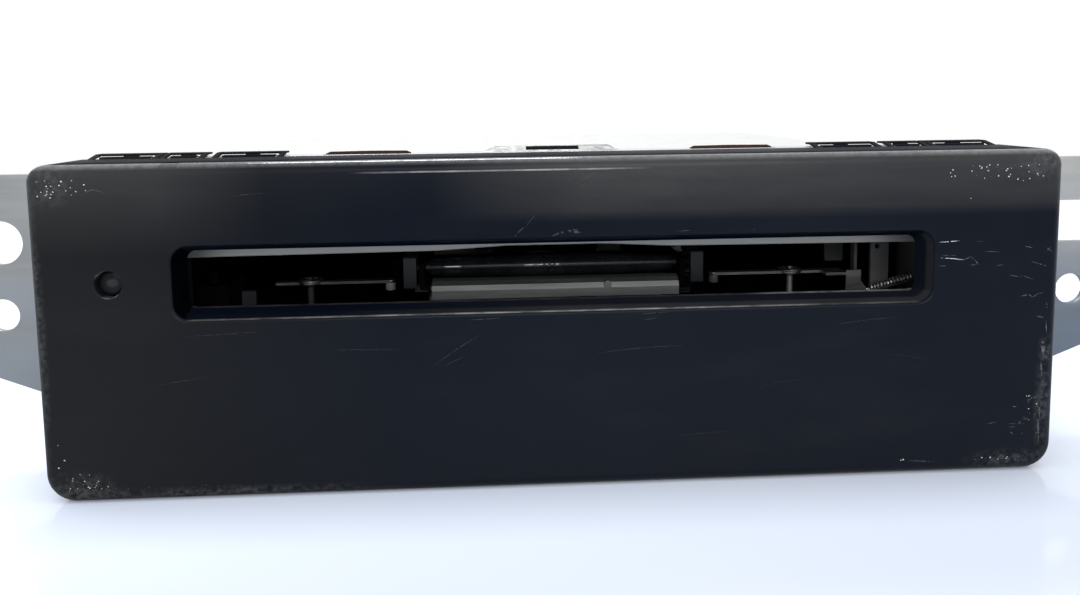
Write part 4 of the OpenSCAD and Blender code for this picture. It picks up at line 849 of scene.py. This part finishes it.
def scuffs():
    pick = random.Random(11)

    def spot(bm, p):
        return bm.verts.new(at(p[0], MARK_Y, p[1]))

    def stroke(bm, x0, z0, x1, z1, width, bow=0.0):
        start, end = Vector((x0, z0)), Vector((x1, z1))
        run = end - start
        across = Vector((-run.y, run.x)).normalized()
        steps = max(4, int(run.length / 0.4))
        left, right = [], []
        for i in range(steps + 1):
            t = i / steps
            middle = start + run * t + across * (bow * 4 * t * (1 - t) + pick.uniform(-0.03, 0.03))
            half = width / 2 * math.sin(math.pi * (0.06 + 0.88 * t)) * pick.uniform(0.35, 1.0)
            left.append(spot(bm, middle + across * half))
            right.append(spot(bm, middle - across * half))
        for i in range(steps):
            if pick.random() < 0.9:
                bm.faces.new((left[i], left[i + 1], right[i + 1], right[i]))

    def fleck(bm, x, z, size):
        count = pick.choice((5, 6, 7))
        lean = pick.uniform(0, math.pi)
        ring = []
        for turn in turns(count):
            a = lean + turn
            r = size * pick.uniform(0.6, 1.0)
            ring.append(spot(bm, (x + 1.2 * r * math.cos(a), z + r * math.sin(a))))
        bm.faces.new(ring)

    def cloud(bm, x, z, half_x, half_z, count, size):
        for _ in range(count):
            fx = x + pick.uniform(-1, 1) * half_x
            fz = z + pick.uniform(-1, 1) * half_z
            if abs(fx) < FLAT_X and FLAT_LOW < fz < FLAT_TOP:
                fleck(bm, fx, fz, size * pick.uniform(0.5, 1.15))

    for name, material, clouds, strokes in MARKS:
        bm = bmesh.new()
        for values in clouds:
            cloud(bm, *values)
        for values in strokes:
            stroke(bm, *values)
        make(name, bm, "black_plastic", material)


# Sheet metal of the case
def top_cover():
    bends = [(0, 85.55, 1, 1.4, -1), (0, -85.55, -1, 1.4, -1), (1, 189.05, 1, 1.4, -1)]
    reach, rear = 98.95, 202.45
    outline = rounded_outline([(-86.9, 19.6), (86.9, 19.6), (86.9, 29.6), (reach, 29.6), (reach, 188.6),
                               (86.6, 188.6), (85.2, 190.2), (85.2, rear), (-85.2, rear), (-85.2, 190.2),
                               (-86.6, 188.6), (-reach, 188.6), (-reach, 29.6), (-86.9, 29.6)],
                              [1, 1, 0, 2, 2, 0, 0, 2, 2, 0, 0, 2, 2, 0])
    holes = []
    for side in (-1, 1):
        holes += [circle(side * 93.95, y, 1.7) for y in (58, 160)]
    bm = bmesh.new()
    folded(bm, outline, holes, 0.8, 0.16, bends, lambda u, v, w: (u, v, 53.6 + w))
    make("cover_sheet", bm, "zinc_sheet", GLARE_COVER, replaced=("top_cover",), smooth=32)


def chassis():
    bends = [(0, 84.7, 1, 1.3, 1), (0, -84.7, -1, 1.3, 1), (1, 188.2, 1, 1.3, 1)]
    reach, rear = 136.74, 240.24
    wall, back = 83.742, 187.242
    outline = rounded_outline([(-reach, 18), (reach, 18), (reach, 187.8), (85.8, 187.8), (84.2, 189.4),
                               (84.2, rear), (-84.2, rear), (-84.2, 189.4), (-85.8, 187.8), (-reach, 187.8)],
                              [1, 1, 1, 0, 0, 1, 1, 0, 0, 1])
    # Screw holes, side vents, rear vents and socket opening, on the flat sheet, where height 0 is at wall
    # on a side and at back on the rear
    holes = []
    for side in (-1, 1):
        for y, z, r in ((44, 18, 2), (80, 28, 2), (58, 46, 1.5), (160, 46, 1.5)):
            holes.append(circle(side * (wall + z), y, r))
        for i in range(6):
            a, b = sorted((side * (wall + 20), side * (wall + 36)))
            holes.append(capsule(a, 128 + 6 * i, b, 131 + 6 * i))
    for i in range(8):
        holes.append(capsule(-70 + 6 * i, back + 22, -67 + 6 * i, back + 38))
    holes.append([(16.9, back + 7.4), (59.3, back + 7.4), (59.3, back + 23.8), (16.9, back + 23.8)])
    bm = bmesh.new()
    folded(bm, outline, holes, 1.0, 0.16, bends, lambda u, v, w: (u, v, 1.7 + w))
    # Feet, then the front tabs and the standoffs of the board
    foot = [(0, -0.7), (4.2, -0.7), (5.1, -0.56), (5.7, -0.2), (6.2, 0.5), (6.7, 0.95), (7.4, 1.18),
            (7.4, 1.4), (0, 1.4)]
    standoff = [(3.2, 2.1), (3.2, 5.9), (3.1, 6), (1.2, 6), (1.2, 3)]
    for x in (-66.5, 66.5):
        for y in (38, 170):
            turned(bm, foot, (x, y, 0), (0, 0, 1), 36)
    for side in (-1, 1):
        for z in (12, 46):
            a, b = sorted((side * 76.5, side * 86))
            block(bm, (a, 18, z - 4), (b, 19, z + 4), 0.2)
        for y in (48, 176):
            turned(bm, standoff, (side * 62.5, y, 0), (0, 0, 1), 24)
    make("chassis_tray", bm, "zinc_sheet", replaced=("chassis",), smooth=32)


def bracket(side):
    bends = [(0, 89.0, -1, 1.75, 1)]
    outline = rounded_outline([(16.75, 7), (86.5, 7), (118, 19.285), (118, 50), (113, 55), (89.3, 55),
                               (89.3, 40), (16.75, 40)], [3, 6, 1.6, 3, 3, 1.2, 0.6, 3])
    holes = [circle(106.4, 27.8, 3.1, 40), circle(66.75, 18, 2.2), circle(30.75, 28, 2.2)]
    if side < 0:
        holes.append(circle(106.0, 41.9, 4.2, 48))
    else:
        holes.append(capsule(98.0, 37.7, 114.0, 46.1))
    bm = bmesh.new()
    folded(bm, outline, holes, 1.5, 0.2, bends, lambda u, v, w: (side * u, 22.75 + w, v))
    name = "right_bracket" if side > 0 else "left_bracket"
    make(name + "_sheet", bm, "steel_sheet", EARS[side], replaced=(name,), smooth=32)


def screw_mesh(head_r, head_h, shank_r, length):
    """One pan-head screw along X with a cross recess, around the origin."""
    dome = ((0, 1), (0.45, 0.97), (0.75, 0.86), (0.92, 0.66), (1, 0.4))
    profile = [(r * head_r, h * head_h) for r, h in dome]
    profile += [(head_r, 0.08), (0.97 * head_r, 0), (shank_r, 0), (shank_r, -length)]
    bm = bmesh.new()
    turned(bm, profile, (0, HALF_DEPTH, -LIFT), (1, 0, 0), 36)
    obj = make("screw", bm, "screw_steel", ride=False)
    arm, half, deep = 0.58 * head_r, 0.13 * head_r, 0.62 * head_h
    for turn in (0, 90):
        rings = []
        for d, grow in ((head_h + 0.2, 1.0), (head_h - deep, 0.5)):
            corners = [(arm * grow, half), (-arm * grow, half), (-arm * grow, -half), (arm * grow, -half)]
            if turn:
                corners = [(-b, a) for a, b in corners]
            rings.append([(d, HALF_DEPTH + a, b - LIFT) for a, b in corners])
        bm = bmesh.new()
        loft(bm, rings, caps=True)
        cut(obj, bm)
    mesh = obj.data
    bpy.data.objects.remove(obj)
    return mesh


def side_screws(name, node, head_r, head_h, shank_r, length, x, places):
    """Screws on both sides, x from the middle, at places of depth and height."""
    one = screw_mesh(head_r, head_h, shank_r, length)
    bm = bmesh.new()
    for side in (-1, 1):
        for k, (y, z) in enumerate(places):
            start = len(bm.verts)
            bm.from_mesh(one)
            bm.verts.ensure_lookup_table()
            spin = Matrix.Rotation(0.4 + 1.1 * k + side * 0.3, 4, "X")
            face = Matrix.Rotation(0 if side > 0 else math.pi, 4, "Z")
            for v in bm.verts[start:]:
                v.co = Matrix.Translation(at(side * x, y, z)) @ face @ spin @ v.co
    bpy.data.meshes.remove(one)
    make(name, bm, "screw_steel", replaced=(node,), smooth=30)


# Wound tension spring with straight ends, stretched by the right lever
def spring():
    start, end = Vector((61.0, 16.35, 30.0)), Vector((71.5, 16.35, 32.7))
    coil_r, wire_r, curls, per = 0.72, 0.17, 14, 22
    axis = (end - start).normalized()
    side = Vector((0, 1, 0))
    up = axis.cross(-side)
    lead, hook = axis * 0.75, axis * 0.35
    first, last = start + lead, end - lead
    path = [start, start + hook]
    for i in range(curls * per + 1):
        t = i / (curls * per)
        a = 2 * math.pi * i / per
        r = coil_r * min(1, 0.55 + i / per, 0.55 + curls - i / per)
        path.append(first.lerp(last, t) + side * (r * math.cos(a)) + up * (r * math.sin(a)))
    path += [end - hook, end]
    bm = bmesh.new()
    tube(bm, path, wire_r, 8)
    obj = make("lever_spring_wound", bm, "bright_steel", WIRE, replaced=("lever_spring",), ride=False)
    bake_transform(obj)


# Edge of the amber strip that stands up in the two slots of the front plate
def film_edges():
    front, rear, low = 21.1, 21.3, 57.2
    bm = bmesh.new()
    for side in (-1, 1):
        rings = []
        for x, high in ((27.2, 58.1), (28.0, 58.45), (35, 58.52), (42.6, 58.45), (43.4, 58.1)):
            corners = ((front, low), (rear, low), (rear, high), (front, high))
            rings.append([(side * x, y, z) for y, z in corners])
        loft(bm, rings, caps=True)
    make("film_edge_strips", bm, "amber_flex", FILM)


# Carried-over nodes, some with eased edges, by width in mm
EASED = {"front_plate": 0.14, "upper_guide": 0.2, "disc_stopper": 0.25, "roller_bracket": 0.12,
         "left_lever": 0.08, "right_lever": 0.08, "deck_plate": 0.1, "rear_socket": 0.3, "left_bush": 0.12,
         "right_bush": 0.12, "lever_clips": 0.06, "heat_sink": 0.1, "board_capacitors": 0.4,
         "board_chips": 0.15, "front_screws": 0.3, "board_screws": 0.3}


def dress_nodes():
    for part in frame["record"]["subparts"]:
        obj = nodes[part["node"]]
        material = OWN_PAINTS.get(part["node"]) or PAINTS[part["material_slot"]]
        if not obj.material_slots:
            obj.data.materials.append(material)
        for slot in obj.material_slots:
            slot.material = material
    for name, width in EASED.items():
        ease(name, width)


# Stage and light
def add_stage():
    bm = bmesh.new()
    rings = []
    for r in (0.001, 150, 400, 900, 1600):
        rings.append([(r * math.cos(a), HALF_DEPTH + r * math.sin(a), -LIFT) for a in turns(64)])
    loft(bm, rings)
    mesh = mesh_from(bm, "floor")
    floor = bpy.data.objects.new("floor", mesh)
    floor.location.z = -0.00005
    scene.collection.objects.link(floor)
    p = Paint("pale_floor")
    cloud = p.noise(7, 3)
    # Seen from the camera the floor glows, with painted shade where ambient occlusion finds the object close
    # and painted light stronger near the front of the case and towards the left
    open_floor = p.add("ShaderNodeAmbientOcclusion", {"Distance": 0.02}).outputs["AO"]
    x, y, _ = p.axes()
    seen = p.times(p.add("ShaderNodeLightPath").outputs["Is Camera Ray"], open_floor,
                   p.ranged(y, -0.165, -0.115, 0.45, 1.7), p.ranged(x, 0.08, -0.1, 0.82, 1.35))
    p.set(Base_Color=p.mixed(p.ranged(cloud, 0.35, 0.65), (0.75, 0.8, 0.89), (0.79, 0.835, 0.915)),
          Roughness=p.ranged(cloud, 0.3, 0.7, 0.06, 0.11), Emission_Color=(0.72, 0.81, 1, 1),
          Emission_Strength=p.times(seen, 0.3), Specular_IOR_Level=0.25)
    far = p.add("ShaderNodeVectorMath", {0: p.where}, operation="LENGTH").outputs["Value"]
    clear = p.add("ShaderNodeBsdfTransparent")
    p.surface("Material Output", p.ranged(far, 0.16, 0.5), p.shader, clear)
    mesh.materials.append(p.material)

    world = bpy.data.worlds.new("studio")
    world.use_nodes = True
    scene.world = world
    w = Nodes(world.node_tree)
    way = w.add("ShaderNodeTexCoord").outputs["Generated"]
    depth = w.add("ShaderNodeSeparateXYZ", {"Vector": way}).outputs["Y"]
    back = w.tree.nodes["Background"]
    w.put(back, "Color", (0.97, 0.985, 1, 1))
    w.put(back, "Strength", w.ranged(depth, -0.8, 0.3, 0.55, 1.0))
    white = w.add("ShaderNodeBackground", {"Color": (1, 1, 1, 1), "Strength": 1.0})
    ray = w.add("ShaderNodeLightPath").outputs
    seen = w.math("MAXIMUM", ray["Is Camera Ray"], ray["Is Transmission Ray"])
    w.surface("World Output", seen, back, white)

    def lamp(name, place, aim, size, power):
        data = bpy.data.lights.new(name, "AREA")
        data.shape = "RECTANGLE"
        data.size, data.size_y = size
        data.energy = power
        obj = bpy.data.objects.new(name, data)
        obj.location = place
        obj.rotation_euler = (Vector(aim) - Vector(place)).to_track_quat("-Z", "Y").to_euler()
        scene.collection.objects.link(obj)

    lamp("top_softbox", (-0.08, 0.3, 0.6), (0, -0.09, 0.05), (0.29, 0.15), 1.2)
    lamp("front_softbox", (0.06, -0.62, 0.26), (0, -0.09, 0.03), (0.4, 0.2), 1.0)


add_camera()
bezel()
lens()
scuffs()
top_cover()
chassis()
bracket(-1)
bracket(1)
side_screws("cover_screw_set", "cover_screws", 2.8, 1.6, 1.5, 5, 87.35, ((58, 46), (160, 46)))
side_screws("bracket_screw_set", "bracket_screws", 3.8, 2.2, 2.0, 6, 88.0, ((44, 18), (80, 28)))
spring()
film_edges()
dress_nodes()
add_stage()
